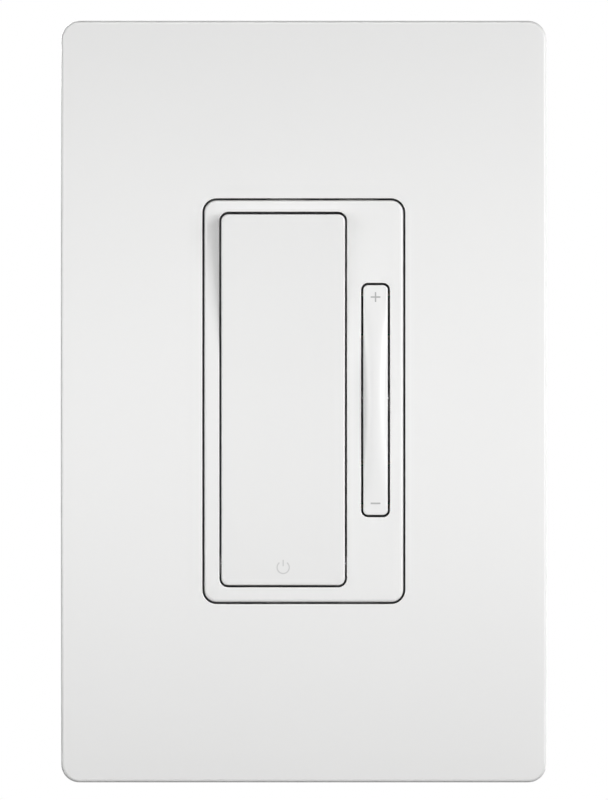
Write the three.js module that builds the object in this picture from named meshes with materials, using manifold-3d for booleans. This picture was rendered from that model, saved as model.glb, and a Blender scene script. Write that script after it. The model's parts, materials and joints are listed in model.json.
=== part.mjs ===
// A one-gang dimmer switch: a press paddle and a dim rocker in a decorator-size frame, behind a
// crowned screwless wall plate, with its strap, housing, boards, terminals and screws.
// Millimetres. +Z is up, +X right, and the front faces -Y. y = 0 is the wall's surface.
import * as THREE from "three";
import { mergeVertices } from "three/addons/utils/BufferGeometryUtils.js";
import Module from "manifold-3d";

const wasm = await Module();
wasm.setup();

// ---- driving dimensions ----

// General fits
const SEAT_GAP = 0.3; // between pieces that are cut by, or pass through, one another
const PIN_GAP = 0.15; // radial, of a pivot pin in its bore

// Wall plate cover
const PLATE_WIDTH = 80.0;
const PLATE_HEIGHT = 125.6;
const PLATE_CORNER = 3.0;
const PLATE_WALL = 2.0;
const PLATE_EDGE = 0.9; // rounding of the front edge
const COLLAR_WALL = 1.2;
const COLLAR_STOP = 3.9; // the collar's back, in front of the wall
const CROWN_HEIGHT = 7.6; // front face in front of the wall, at mid height
const CROWN_SAG = 2.0; // how much lower the face stands at the plate's top and bottom

// Device frame
const FRAME_WIDTH = 32.8;
const FRAME_HEIGHT = 66.2;
const FRAME_RAISE = 0.06; // its centre above the plate's
const FRAME_CORNER = 2.05;
const FRAME_EDGE = 0.55;
const FRAME_WALL = 1.5;
const FRAME_FACE = 1.9; // thickness of its front
const FRAME_GAP = 0.3; // to the plate all round
const STRIP_LEFT = 2.5;
const STRIP_RIGHT = 9.3;
const STRIP_TOP = 1.93;
const STRIP_BOTTOM = 2.46;

const HOOK_PLACES = [-3, 9];
const HOOK_LENGTH = 5;
const HOOK_BARB = 0.8;
const HOOK_REACH = 1.5; // behind the wall's surface

// Paddle
const PADDLE_GAP = 0.33;
const PADDLE_TOP_GAP = 0.48; // its proud top edge swings up a little
const PADDLE_CORNER = 1.15;
const PADDLE_EDGE = 0.3;
const PADDLE_FACE = 1.8;
const PADDLE_SKIRT = 1.3;
const PADDLE_BACK = 3.7; // the skirt's back, in front of the wall
const PADDLE_PROUD = 2.6; // of the top edge over the frame
const RAMP_START = 3.5; // height where the face starts to rise from the frame's curve
const RAMP_POWER = 1.15; // 1 would be a straight ramp
const PADDLE_PIVOT_UP = 3.2; // pivot above the paddle's bottom edge
const PADDLE_PIVOT_DEPTH = 3.9; // pivot in front of the wall

// Dim bar
const BAR_WIDTH = 4.05;
const BAR_HEIGHT = 37.85;
const BAR_CORNER = 0.8;
const BAR_GAP = 0.35;
const BAR_EDGE = 0.5;
const BAR_INSET = 4.6; // its middle from the frame's right side
const BAR_RAISE = 0.25;
const BAR_PROUD = 1.3; // of its middle over the frame
const BAR_DEPTH = 2.5; // thickness at its ends
const BAR_PIVOT_DEPTH = 4.45;

// Pivot pins and their bearings
const PIN_RADIUS = 0.75;
const BEARING_WALL = 1.0;

// Mounting strap
const STRAP_OVERHANG = 0.5; // past the housing on each side
const STRAP_HEIGHT = 105;
const STRAP_THICK = 1.6;
const STRAP_BODY_HEIGHT = 72;
const EAR_WIDTH = 36;
const BOX_SCREW_SPACING = 83.3;
const PLATE_SCREW_SPACING = 96.8;
const WINDOW_MARGIN = 1.0;

// Sub-frame that the cover snaps onto
const SUBFRAME_THICK = 1.6;
const SUBFRAME_SKIRT = 1.5;
const SUBFRAME_MARGIN = 1.3; // inside the cover's walls
const CATCH_REACH = 0.8;
const CATCH_LENGTH = 9;
const CATCH_PLACES = [-40, 0, 40];

// Screws: 6-32 for the box and plate, M3 inside
const SCREW_RADIUS = 1.7;
const SCREW_HEAD_RADIUS = 3.4;
const SCREW_HEAD = 1.8;
const SCREW_SLOT = 0.9;
const SLOT_DEPTH = 0.6;
const PLATE_SCREW_REACH = 4; // behind the wall's surface
const BOX_SCREW_REACH = 22;
const HOUSING_SCREW_RADIUS = 1.45;
const HOUSING_SCREW_HEAD_RADIUS = 2.6;
const RETAINER_SIZE = 7;
const RETAINER_THICK = 0.8;

// Back housing
const HOUSING_WIDTH = 43;
const HOUSING_HEIGHT = 62;
const HOUSING_DEPTH = 33;
const HOUSING_WALL = 1.8;
const HOUSING_CORNER = 2.5;
const PILLAR_RADIUS = 2.75;
const LEDGE_LENGTH = 6;

// Boards and their pieces
const BOARD_THICK = 1.6;
const BOARD_GAP = 0.5; // to the housing's walls
const CONTROL_BOARD_Y = 2.5;
const CONTROL_BOARD_TOP = 19.2;
const POWER_BOARD_Y = 25;
const INSULATOR_THICK = 0.6;
const TACT_SIZE = 6;
const TACT_HEIGHT = 3.4;
const PLUNGER_RADIUS = 1.65;
const PLUNGER_RISE = 2.0;
const PLUNGER_GAP = 0.15; // to the pusher that presses it
const PADDLE_TACT_LEVER = 15; // above the paddle's pivot
const BAR_TACT_LEVER = 14; // above and below the bar's pivot

// Wire terminals
const POCKET_SIZE = 10;
const POCKET_DEPTH = 5.5;
const POCKET_Y = 14;
const TERMINAL_HEIGHT = 17; // above and below the middle
const TERMINAL_PLATE = 8.6;

// ---- derived places ----

const CROWN_RADIUS = (PLATE_HEIGHT / 2) ** 2 / (2 * CROWN_SAG);
const PLATE_INNER_WIDTH = PLATE_WIDTH - 2 * PLATE_WALL;
const PLATE_INNER_HEIGHT = PLATE_HEIGHT - 2 * PLATE_WALL;
const OPENING_WIDTH = FRAME_WIDTH + 2 * FRAME_GAP;
const OPENING_HEIGHT = FRAME_HEIGHT + 2 * FRAME_GAP;
const FRAME_TOP = FRAME_RAISE + FRAME_HEIGHT / 2;
const FRAME_BOTTOM = FRAME_RAISE - FRAME_HEIGHT / 2;
const SLOT_LEFT = -FRAME_WIDTH / 2 + STRIP_LEFT;
const SLOT_RIGHT = FRAME_WIDTH / 2 - STRIP_RIGHT;
const SLOT_TOP = FRAME_TOP - STRIP_TOP;
const SLOT_BOTTOM = FRAME_BOTTOM + STRIP_BOTTOM;
const PADDLE_X = (SLOT_LEFT + SLOT_RIGHT) / 2;
const PADDLE_WIDTH = SLOT_RIGHT - SLOT_LEFT - 2 * PADDLE_GAP;
const PADDLE_TOP = SLOT_TOP - PADDLE_TOP_GAP;
const PADDLE_BOTTOM = SLOT_BOTTOM + PADDLE_GAP;
const PADDLE_HEIGHT = PADDLE_TOP - PADDLE_BOTTOM;
const PADDLE_Z = (PADDLE_TOP + PADDLE_BOTTOM) / 2;
const PADDLE_PIVOT_Z = PADDLE_BOTTOM + PADDLE_PIVOT_UP;
const PADDLE_TACT_Z = PADDLE_PIVOT_Z + PADDLE_TACT_LEVER;
const BAR_X = FRAME_WIDTH / 2 - BAR_INSET;
const STRAP_FRONT = -STRAP_THICK;
const FRAME_SEAT = STRAP_FRONT - SEAT_GAP;
const TACT_FRONT = CONTROL_BOARD_Y - TACT_HEIGHT;
const PLUNGER_FRONT = TACT_FRONT - PLUNGER_RISE;
const PUSHER_BACK = PLUNGER_FRONT - PLUNGER_GAP;
const INNER_X = HOUSING_WIDTH / 2 - HOUSING_WALL;
const INNER_Z = HOUSING_HEIGHT / 2 - HOUSING_WALL;
const PILLAR_X = HOUSING_WIDTH / 2 - PILLAR_RADIUS;
const PILLAR_Z = HOUSING_HEIGHT / 2 - PILLAR_RADIUS;
const STRAP_WIDTH = HOUSING_WIDTH + 2 * STRAP_OVERHANG;
const CONTROL_BACK = CONTROL_BOARD_Y + BOARD_THICK;
const TACTS = [
  { name: "paddle_tact", x: PADDLE_X, z: PADDLE_TACT_Z },
  { name: "brighter_tact", x: BAR_X, z: BAR_RAISE + BAR_TACT_LEVER },
  { name: "dimmer_tact", x: BAR_X, z: BAR_RAISE - BAR_TACT_LEVER },
];

// ---- solids ----

const CORNER_STEPS = 4;
const EDGE_STEPS = 3;

const FROM_XZ = new THREE.Matrix4().makeRotationX(Math.PI / 2);

function solid(geometry) {
  geometry.deleteAttribute("normal");
  geometry.deleteAttribute("uv");
  const merged = mergeVertices(geometry, 1e-4);
  const vertProperties = merged.attributes.position.array;
  const triVerts = new Uint32Array(merged.index.array);
  return new wasm.Manifold(new wasm.Mesh({ numProp: 3, vertProperties, triVerts }));
}

function join(solids) {
  return solids.reduce((sum, piece) => sum.add(piece));
}

function cut(body, tools) {
  return tools.reduce((rest, tool) => rest.subtract(tool), body);
}

// A block between two corners.
function block(x0, x1, y0, y1, z0, z1) {
  const geometry = new THREE.BoxGeometry(x1 - x0, y1 - y0, z1 - z0);
  geometry.translate((x0 + x1) / 2, (y0 + y1) / 2, (z0 + z1) / 2);
  return solid(geometry);
}

// A cylinder along "x" or "y" between two ends.
function rod(along, radius, start, end, a, b, sides = 16) {
  const geometry = new THREE.CylinderGeometry(radius, radius, end - start, sides);
  const middle = (start + end) / 2;
  if (along === "x") {
    geometry.rotateZ(-Math.PI / 2);
    geometry.translate(middle, a, b);
  } else {
    geometry.translate(a, middle, b);
  }
  return solid(geometry);
}

// A rounded rectangle in X and Z, as a slab from y = back to y = front.
function slab(width, height, corner, x, z, back, front, steps = 4) {
  const w = width / 2 - corner;
  const h = height / 2 - corner;
  const shape = new THREE.Shape();
  shape.absarc(x + w, z + h, corner, 0, Math.PI / 2);
  shape.absarc(x - w, z + h, corner, Math.PI / 2, Math.PI);
  shape.absarc(x - w, z - h, corner, Math.PI, 1.5 * Math.PI);
  shape.absarc(x + w, z - h, corner, 1.5 * Math.PI, 2 * Math.PI);
  const settings = { depth: back - front, bevelEnabled: false, curveSegments: steps };
  const geometry = new THREE.ExtrudeGeometry(shape, settings);
  geometry.applyMatrix4(FROM_XZ);
  geometry.translate(0, back, 0);
  return solid(geometry);
}

// The front face's curve: how far it stands in front of the wall at a height.
function crown(z) {
  return CROWN_HEIGHT - (z * z) / (2 * CROWN_RADIUS);
}

// Half of a rounded outline, bottom to top on its right side, as points in X and Z.
function halfOutline(halfWidth, halfHeight, corner, sideSteps) {
  const w = halfWidth - corner;
  const h = halfHeight - corner;
  const points = [];
  for (let i = 0; i < CORNER_STEPS; i++) {
    const angle = (-Math.PI / 2) * (1 - i / CORNER_STEPS);
    points.push([w + corner * Math.cos(angle), -h + corner * Math.sin(angle)]);
  }
  for (let i = 0; i <= sideSteps; i++) points.push([halfWidth, h * ((2 * i) / sideSteps - 1)]);
  for (let i = 1; i <= CORNER_STEPS; i++) {
    const angle = (Math.PI / 2) * (i / CORNER_STEPS);
    points.push([w + corner * Math.cos(angle), h + corner * Math.sin(angle)]);
  }
  return points;
}

// A slab with a rounded outline, a flat back, and a front that follows a curve from top to
// bottom, with its front edge rounded all round. "front" gives the distance before the wall.
function domed({ x, z, width, height, corner, back, front, edge, steps }) {
  const rings = [];
  const addRing = (inset, depth) => {
    const least = 0.02;
    const round = Math.max(corner - inset, least);
    const half = halfOutline(width / 2 - inset, height / 2 - inset, round, steps);
    const place = (side) => ([px, pz]) => [x + side * px, depth(z + pz), z + pz];
    rings.push([...half.map(place(1)), ...half.map(place(-1)).reverse()]);
  };
  addRing(0, () => back);
  for (let i = 0; i <= EDGE_STEPS; i++) {
    const angle = ((Math.PI / 2) * i) / EDGE_STEPS;
    const drop = edge * (1 - Math.sin(angle));
    addRing(edge * (1 - Math.cos(angle)), (at) => drop - front(at));
  }
  return closed(rings);
}

// Rings of points from back to front, walled in between and capped by strips across.
function closed(rings) {
  const count = rings[0].length;
  const index = [];
  const quad = (a, b, c, d) => index.push(a, c, b, a, d, c);
  for (let ring = 0; ring + 1 < rings.length; ring++) {
    for (let i = 0; i < count; i++) {
      const here = ring * count + i;
      const next = ring * count + ((i + 1) % count);
      quad(here, here + count, next + count, next);
    }
  }
  const last = (rings.length - 1) * count;
  for (let i = 0; i + 1 < count / 2; i++) {
    const across = count - 1 - i;
    quad(i, i + 1, across - 1, across);
    quad(last + across, last + across - 1, last + i + 1, last + i);
  }
  const geometry = new THREE.BufferGeometry();
  geometry.setAttribute("position", new THREE.Float32BufferAttribute(rings.flat(2), 3));
  geometry.setIndex(index);
  return solid(geometry);
}

// A screw along Y or X: its head's back face stands at "seat" and its shank goes "reach" on.
function screw(along, seat, direction, reach, a, b, size) {
  const headEnd = seat - direction * size.head;
  const tip = seat + direction * reach;
  const overlap = 0.2 * direction;
  const span = (from, to) => [Math.min(from, to), Math.max(from, to)];
  const head = rod(along, size.headRadius, ...span(headEnd, seat), a, b);
  const shank = rod(along, size.radius, ...span(seat - overlap, tip), a, b, 12);
  const slotFloor = headEnd + direction * SLOT_DEPTH;
  const [near, far] = span(headEnd - direction, slotFloor);
  const half = SCREW_SLOT / 2;
  const long = size.headRadius + 1;
  const slot =
    along === "y"
      ? block(a - long, a + long, near, far, b - half, b + half)
      : block(near, far, a - half, a + half, b - long, b + long);
  return cut(join([head, shank]), [slot]);
}

const PLATE_SCREW = { radius: SCREW_RADIUS, headRadius: SCREW_HEAD_RADIUS, head: SCREW_HEAD };
const HOUSING_SCREW = {
  radius: HOUSING_SCREW_RADIUS,
  headRadius: HOUSING_SCREW_HEAD_RADIUS,
  head: SCREW_HEAD,
};

// ---- wall plate ----

function coverShell() {
  const outer = domed({
    x: 0,
    z: 0,
    width: PLATE_WIDTH,
    height: PLATE_HEIGHT,
    corner: PLATE_CORNER,
    back: 0,
    front: crown,
    edge: PLATE_EDGE,
    steps: 14,
  });
  const hollow = domed({
    x: 0,
    z: 0,
    width: PLATE_INNER_WIDTH,
    height: PLATE_INNER_HEIGHT,
    corner: PLATE_CORNER - PLATE_WALL / 2,
    back: 1,
    front: (z) => crown(z) - PLATE_WALL,
    edge: PLATE_EDGE / 2,
    steps: 14,
  });
  return cut(outer, [hollow]);
}

function wallPlateCover() {
  const collarWidth = OPENING_WIDTH + 2 * COLLAR_WALL;
  const collarHeight = OPENING_HEIGHT + 2 * COLLAR_WALL;
  const corner = FRAME_CORNER + FRAME_GAP;
  const innerFront = -CROWN_HEIGHT + PLATE_WALL * 0.5;
  const collar = slab(
    collarWidth,
    collarHeight,
    corner + COLLAR_WALL,
    0,
    FRAME_RAISE,
    -COLLAR_STOP,
    innerFront,
  );
  const opening = slab(
    OPENING_WIDTH,
    OPENING_HEIGHT,
    corner,
    0,
    FRAME_RAISE,
    1,
    -CROWN_HEIGHT - 1,
  );
  return cut(join([coverShell(), collar, ...coverCatches()]), [opening]);
}

// Small ribs on the cover's inner walls, behind the sub-frame's barbs.
function coverCatches() {
  const wall = PLATE_INNER_WIDTH / 2;
  return CATCH_PLACES.flatMap((z) =>
    [-1, 1].map((side) => {
      const a = side * (wall + 0.2);
      const b = side * (wall - CATCH_REACH);
      const half = CATCH_LENGTH / 2;
      return block(Math.min(a, b), Math.max(a, b), -1.0, -0.3, z - half, z + half);
    }),
  );
}

function wallPlateSubframe() {
  const width = PLATE_INNER_WIDTH - 2 * SUBFRAME_MARGIN;
  const height = PLATE_INNER_HEIGHT - 2 * SUBFRAME_MARGIN;
  const front = STRAP_FRONT - SUBFRAME_THICK;
  const outer = slab(width, height, 1.5, 0, 0, -0.3, front);
  const hollow = slab(
    width - 2 * SUBFRAME_SKIRT,
    height - 2 * SUBFRAME_SKIRT,
    0.8,
    0,
    0,
    1,
    STRAP_FRONT,
  );
  const opening = slab(
    OPENING_WIDTH,
    OPENING_HEIGHT,
    FRAME_CORNER + FRAME_GAP,
    0,
    FRAME_RAISE,
    1,
    front - 1,
  );
  const boxHoles = [-1, 1].map((side) =>
    rod("y", SCREW_HEAD_RADIUS + 1, front - 1, 1, 0, (side * BOX_SCREW_SPACING) / 2),
  );
  const plateHoles = [-1, 1].map((side) => countersunk(side, SEAT_GAP));
  const body = join([outer, ...subframeBarbs(width)]);
  return cut(body, [hollow, opening, ...boxHoles, ...plateHoles]);
}

function subframeBarbs(width) {
  return CATCH_PLACES.flatMap((z) =>
    [-1, 1].map((side) => {
      const a = side * (width / 2 - 0.2);
      const b = side * (width / 2 + CATCH_REACH);
      const half = CATCH_LENGTH / 2;
      return block(Math.min(a, b), Math.max(a, b), -2.4, -1.3, z - half, z + half);
    }),
  );
}

// A flat-headed screw, its head flush with the sub-frame; grown, it is the hole for one.
function countersunk(side, grow) {
  const z = (side * PLATE_SCREW_SPACING) / 2;
  const front = STRAP_FRONT - SUBFRAME_THICK;
  const wide = SCREW_HEAD_RADIUS + grow;
  const narrow = SCREW_RADIUS + grow;
  const depth = SUBFRAME_THICK - SEAT_GAP;
  const cone = new THREE.CylinderGeometry(narrow, wide, depth, 16);
  cone.translate(0, front + depth / 2, z);
  const shank = rod("y", narrow, front + depth / 2, PLATE_SCREW_REACH + grow, 0, z);
  const mouth = grow > 0 ? [rod("y", wide, front - 1, front + 0.01, 0, z)] : [];
  return join([solid(cone), shank, ...mouth]);
}

function subframeScrew(side) {
  const z = (side * PLATE_SCREW_SPACING) / 2;
  const front = STRAP_FRONT - SUBFRAME_THICK;
  const half = SCREW_SLOT / 2;
  const long = SCREW_HEAD_RADIUS + 1;
  const slot = block(-long, long, front - 1, front + SLOT_DEPTH, z - half, z + half);
  return cut(countersunk(side, 0), [slot]);
}

// ---- strap and its screws ----

function mountingStrap() {
  const ears = slab(EAR_WIDTH, STRAP_HEIGHT, 3, 0, 0, 0, STRAP_FRONT);
  const body = slab(STRAP_WIDTH, STRAP_BODY_HEIGHT, 2, 0, 0, 0, STRAP_FRONT);
  const holes = [...strapScrewHoles(), ...strapWindows(), ...hookSlots()];
  return cut(join([ears, body, groundTab()]), holes);
}

function strapScrewHoles() {
  const y = [STRAP_FRONT - 1, 1];
  const holes = [-1, 1].flatMap((side) => {
    const z = (side * BOX_SCREW_SPACING) / 2;
    const slotHalf = 2.2;
    const radius = SCREW_RADIUS + SEAT_GAP;
    return [
      block(-slotHalf, slotHalf, ...y, z - radius, z + radius),
      rod("y", radius, ...y, -slotHalf, z),
      rod("y", radius, ...y, slotHalf, z),
      rod("y", radius, ...y, 0, (side * PLATE_SCREW_SPACING) / 2),
    ];
  });
  for (const [x, z] of pillars()) {
    holes.push(rod("y", HOUSING_SCREW_RADIUS + SEAT_GAP, ...y, x, z));
  }
  holes.push(rod("y", HOUSING_SCREW_RADIUS + SEAT_GAP, ...y, ...TRIAC_SCREW_AT));
  return holes;
}

// Openings in the strap for the pushers and the switches under them.
function strapWindows() {
  const half = TACT_SIZE / 2 + WINDOW_MARGIN;
  return TACTS.map(({ x, z }) =>
    slab(2 * half, 2 * half, 1, x, z, 1, STRAP_FRONT - 1, 3),
  );
}

function hookSlots() {
  const half = HOOK_LENGTH / 2 + SEAT_GAP;
  return HOOK_PLACES.flatMap((x) => [
    block(x - half, x + half, STRAP_FRONT - 1, 1, ...hookSpan(1, SEAT_GAP)),
    block(x - half, x + half, STRAP_FRONT - 1, 1, ...hookSpan(-1, SEAT_GAP)),
  ]);
}

// Heights that a hook takes up in the frame's top or bottom wall, its barb included.
function hookSpan(side, grow) {
  const outer = side > 0 ? FRAME_TOP : FRAME_BOTTOM;
  const inner = outer - side * (FRAME_WALL + grow);
  const barb = outer + side * (HOOK_BARB + grow);
  return side > 0 ? [inner, barb] : [barb, inner];
}

const GROUND_X = -13;
const GROUND_Y = 6;
const GROUND_TAB_HALF = 4.5;
const GROUND_TAB_Z = HOUSING_HEIGHT / 2 + 2.6;

// A tab bent back under the housing, for the ground screw.
function groundTab() {
  const low = -GROUND_TAB_Z - STRAP_THICK;
  const tab = block(
    GROUND_X - GROUND_TAB_HALF,
    GROUND_X + GROUND_TAB_HALF,
    -0.2,
    GROUND_Y + GROUND_TAB_HALF,
    low,
    -GROUND_TAB_Z,
  );
  const hole = new THREE.CylinderGeometry(SCREW_RADIUS + SEAT_GAP, SCREW_RADIUS + SEAT_GAP, 6, 24);
  hole.rotateX(Math.PI / 2);
  hole.translate(GROUND_X, GROUND_Y, -GROUND_TAB_Z);
  return cut(tab, [solid(hole)]);
}

function groundScrew() {
  const seat = -GROUND_TAB_Z - STRAP_THICK;
  const made = screw("y", 0, 1, 3.8, 0, 0, PLATE_SCREW);
  return made.rotate([90, 0, 0]).translate([GROUND_X, GROUND_Y, seat]);
}

function boxScrew(side) {
  return screw("y", STRAP_FRONT, 1, BOX_SCREW_REACH, 0, (side * BOX_SCREW_SPACING) / 2, PLATE_SCREW);
}

function screwRetainer(side) {
  const z = (side * BOX_SCREW_SPACING) / 2;
  const sheet = slab(RETAINER_SIZE, RETAINER_SIZE, 1, 0, z, RETAINER_THICK, 0, 3);
  return cut(sheet, [rod("y", SCREW_RADIUS + SEAT_GAP, -1, 2, 0, z)]);
}

// ---- device frame ----

function frameBlank() {
  return domed({
    x: 0,
    z: FRAME_RAISE,
    width: FRAME_WIDTH,
    height: FRAME_HEIGHT,
    corner: FRAME_CORNER,
    back: FRAME_SEAT,
    front: crown,
    edge: FRAME_EDGE,
    steps: 8,
  });
}

function deviceFrame() {
  const face = CROWN_HEIGHT - FRAME_FACE - 0.6;
  const hollow = slab(
    FRAME_WIDTH - 2 * FRAME_WALL,
    FRAME_HEIGHT - 2 * FRAME_WALL,
    FRAME_CORNER - 1,
    0,
    FRAME_RAISE,
    1,
    -face,
  );
  const shell = cut(frameBlank(), [hollow]);
  const body = join([shell, ...paddleBearings(), ...barBearings(), ...frameHooks()]);
  return cut(body, [paddleSlot(), barSlot(), paddlePinBore(), barPinBore()]);
}

function paddleSlot() {
  return slab(
    SLOT_RIGHT - SLOT_LEFT,
    SLOT_TOP - SLOT_BOTTOM,
    PADDLE_CORNER + PADDLE_GAP,
    PADDLE_X,
    (SLOT_TOP + SLOT_BOTTOM) / 2,
    FRAME_SEAT + 1,
    -CROWN_HEIGHT - 1,
  );
}

function barSlot() {
  return slab(
    BAR_WIDTH + 2 * BAR_GAP,
    BAR_HEIGHT + 2 * BAR_GAP,
    BAR_CORNER + BAR_GAP,
    BAR_X,
    BAR_RAISE,
    FRAME_SEAT + 1,
    -CROWN_HEIGHT - 1,
    4,
  );
}

// Lugs hang from the frame's face at each end of a pivot pin.
function lug(x0, x1, z, depth) {
  const half = PIN_RADIUS + BEARING_WALL;
  const face = CROWN_HEIGHT - FRAME_FACE;
  return block(x0, x1, -face, -depth + half, z - half, z + half);
}

function paddleBearings() {
  const wall = -FRAME_WIDTH / 2 + FRAME_WALL - 0.1;
  return [
    lug(wall, SLOT_LEFT, PADDLE_PIVOT_Z, PADDLE_PIVOT_DEPTH),
    lug(SLOT_RIGHT, SLOT_RIGHT + BEARING_WALL, PADDLE_PIVOT_Z, PADDLE_PIVOT_DEPTH),
  ];
}

function barBearings() {
  const near = BAR_X - BAR_WIDTH / 2 - BAR_GAP;
  const far = BAR_X + BAR_WIDTH / 2 + BAR_GAP;
  const wall = FRAME_WIDTH / 2 - FRAME_WALL + 0.1;
  return [
    lug(near - BEARING_WALL, near, BAR_RAISE, BAR_PIVOT_DEPTH),
    lug(far, wall, BAR_RAISE, BAR_PIVOT_DEPTH),
  ];
}

// Legs with barbs that reach through the strap and hold the frame on it.
function frameHooks() {
  const half = HOOK_LENGTH / 2;
  return HOOK_PLACES.flatMap((x) =>
    [-1, 1].flatMap((side) => {
      const outer = side > 0 ? FRAME_TOP : FRAME_BOTTOM;
      const inner = outer - side * FRAME_WALL;
      const [low, high] = side > 0 ? [inner, outer] : [outer, inner];
      const leg = block(x - half, x + half, FRAME_SEAT - 0.5, HOOK_REACH, low, high);
      const barb = block(x - half, x + half, SEAT_GAP, HOOK_REACH, ...hookSpan(side, 0));
      return [leg, barb];
    }),
  );
}

// ---- pivot pins ----

function paddlePinEnds() {
  return [SLOT_LEFT - BEARING_WALL + 0.3, SLOT_RIGHT + BEARING_WALL - 0.1];
}

function barPinEnds() {
  const reach = BAR_WIDTH / 2 + BAR_GAP + BEARING_WALL - 0.1;
  return [BAR_X - reach, BAR_X + reach];
}

function pin([start, end], depth, z, grow) {
  return rod("x", PIN_RADIUS + grow, start - grow, end + grow, -depth, z);
}

function paddlePin(grow = 0) {
  return pin(paddlePinEnds(), PADDLE_PIVOT_DEPTH, PADDLE_PIVOT_Z, grow);
}

function barPin(grow = 0) {
  return pin(barPinEnds(), BAR_PIVOT_DEPTH, BAR_RAISE, grow);
}

function paddlePinBore() {
  return paddlePin(PIN_GAP);
}

function barPinBore() {
  return barPin(PIN_GAP);
}

// ---- paddle ----

function paddleFront(z) {
  const rise = Math.max(0, z - RAMP_START) / (PADDLE_TOP - RAMP_START);
  return crown(z) + PADDLE_PROUD * rise ** RAMP_POWER;
}

function paddle() {
  const left = PADDLE_X - PADDLE_WIDTH / 2;
  const right = PADDLE_X + PADDLE_WIDTH / 2;
  const outer = domed({
    x: PADDLE_X,
    z: PADDLE_Z,
    width: PADDLE_WIDTH,
    height: PADDLE_HEIGHT,
    corner: PADDLE_CORNER,
    back: -PADDLE_BACK,
    front: paddleFront,
    edge: PADDLE_EDGE,
    steps: 16,
  });
  const hollow = domed({
    x: PADDLE_X,
    z: PADDLE_Z,
    width: PADDLE_WIDTH - 2 * PADDLE_SKIRT,
    height: PADDLE_HEIGHT - 2 * PADDLE_SKIRT,
    corner: PADDLE_CORNER / 2,
    back: 0,
    front: (z) => paddleFront(z) - PADDLE_FACE,
    edge: PADDLE_EDGE,
    steps: 16,
  });
  const lugs = [
    lug(left, left + PADDLE_SKIRT, PADDLE_PIVOT_Z, PADDLE_PIVOT_DEPTH),
    lug(right - PADDLE_SKIRT, right, PADDLE_PIVOT_Z, PADDLE_PIVOT_DEPTH),
  ];
  const insides = [paddlePusher(), ...lugs, ...paddleRibs(left, right)];
  return cut(join([cut(outer, [hollow]), ...insides]), [paddlePinBore()]);
}

function paddlePusher() {
  const top = paddleFront(PADDLE_TACT_Z) - PADDLE_FACE / 2;
  return rod("y", 2.2, -top, PUSHER_BACK, PADDLE_X, PADDLE_TACT_Z);
}

function paddleRibs(left, right) {
  return [-8, 2, 14, 24].map((z) => {
    const top = paddleFront(z) - PADDLE_FACE / 2;
    return block(left + 0.5, right - 0.5, -top, -PADDLE_BACK - 0.4, z - 0.5, z + 0.5);
  });
}

// A torsion spring on the paddle's pin: three turns, one leg on the strap, one under the paddle.
function paddleSpring() {
  const wire = 0.25;
  const turnRadius = PIN_RADIUS + 0.1 + wire;
  const turns = 3;
  const pitch = 2.2 * wire + 0.05;
  const first = PADDLE_X - (turns * pitch) / 2;
  const points = [];
  const legLength = 7.5;
  const at = (x, y, z) => new THREE.Vector3(x, y - PADDLE_PIVOT_DEPTH, z + PADDLE_PIVOT_Z);
  points.push(at(first - pitch / 2, turnRadius + 0.4, legLength));
  points.push(at(first - pitch / 4, turnRadius + 0.2, legLength / 2));
  const steps = 14 * turns;
  for (let i = 0; i <= steps; i++) {
    const turn = Math.PI / 2 - ((2 * turns + 1) * Math.PI * i) / steps;
    const x = first + (turns * pitch * i) / steps;
    points.push(at(x, turnRadius * Math.sin(turn), turnRadius * Math.cos(turn)));
  }
  points.push(at(first + (turns + 0.25) * pitch, -turnRadius, legLength / 2));
  points.push(at(first + (turns + 0.5) * pitch, -turnRadius, legLength));
  const path = new THREE.CatmullRomCurve3(points);
  const section = new THREE.Shape();
  section.absarc(0, 0, wire, 0, 2 * Math.PI);
  const settings = { steps: 72, curveSegments: 3, bevelEnabled: false, extrudePath: path };
  return solid(new THREE.ExtrudeGeometry(section, settings));
}

// ---- dim bar ----

function barFront(z) {
  const along = (z - BAR_RAISE) / (BAR_HEIGHT / 2);
  const swell = Math.cos((Math.min(1, Math.abs(along)) * Math.PI) / 2) ** 1.5;
  return crown(z) + BAR_PROUD * swell;
}

function dimBar() {
  const back = -(CROWN_HEIGHT - BAR_DEPTH);
  const body = domed({
    x: BAR_X,
    z: BAR_RAISE,
    width: BAR_WIDTH,
    height: BAR_HEIGHT,
    corner: BAR_CORNER,
    back,
    front: barFront,
    edge: BAR_EDGE,
    steps: 20,
  });
  return cut(join([body, barHub(back), ...barPushers(back)]), [barPinBore()]);
}

function barHub(back) {
  const half = PIN_RADIUS + BEARING_WALL;
  const side = BAR_WIDTH / 2;
  const deep = -BAR_PIVOT_DEPTH + half;
  return block(BAR_X - side, BAR_X + side, back - 0.5, deep, BAR_RAISE - half, BAR_RAISE + half);
}

function barPushers(back) {
  return [-1, 1].map((side) => {
    const z = BAR_RAISE + side * BAR_TACT_LEVER;
    return rod("y", BAR_WIDTH / 2 - 0.2, back - 0.5, PUSHER_BACK, BAR_X, z);
  });
}

// ---- back housing ----

function pillars() {
  return [-1, 1].flatMap((sx) => [-1, 1].map((sz) => [sx * PILLAR_X, sz * PILLAR_Z]));
}

function terminals() {
  return [
    { name: "line", side: -1, z: TERMINAL_HEIGHT },
    { name: "traveler", side: -1, z: -TERMINAL_HEIGHT },
    { name: "load", side: 1, z: TERMINAL_HEIGHT },
    { name: "neutral", side: 1, z: -TERMINAL_HEIGHT },
  ];
}

// A block on one side of the housing, given by its distances from the middle plane.
function sideBlock(side, near, far, y0, y1, z0, z1) {
  return side > 0 ? block(near, far, y0, y1, z0, z1) : block(-far, -near, y0, y1, z0, z1);
}

function pocketFloor() {
  return HOUSING_WIDTH / 2 - POCKET_DEPTH;
}

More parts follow.
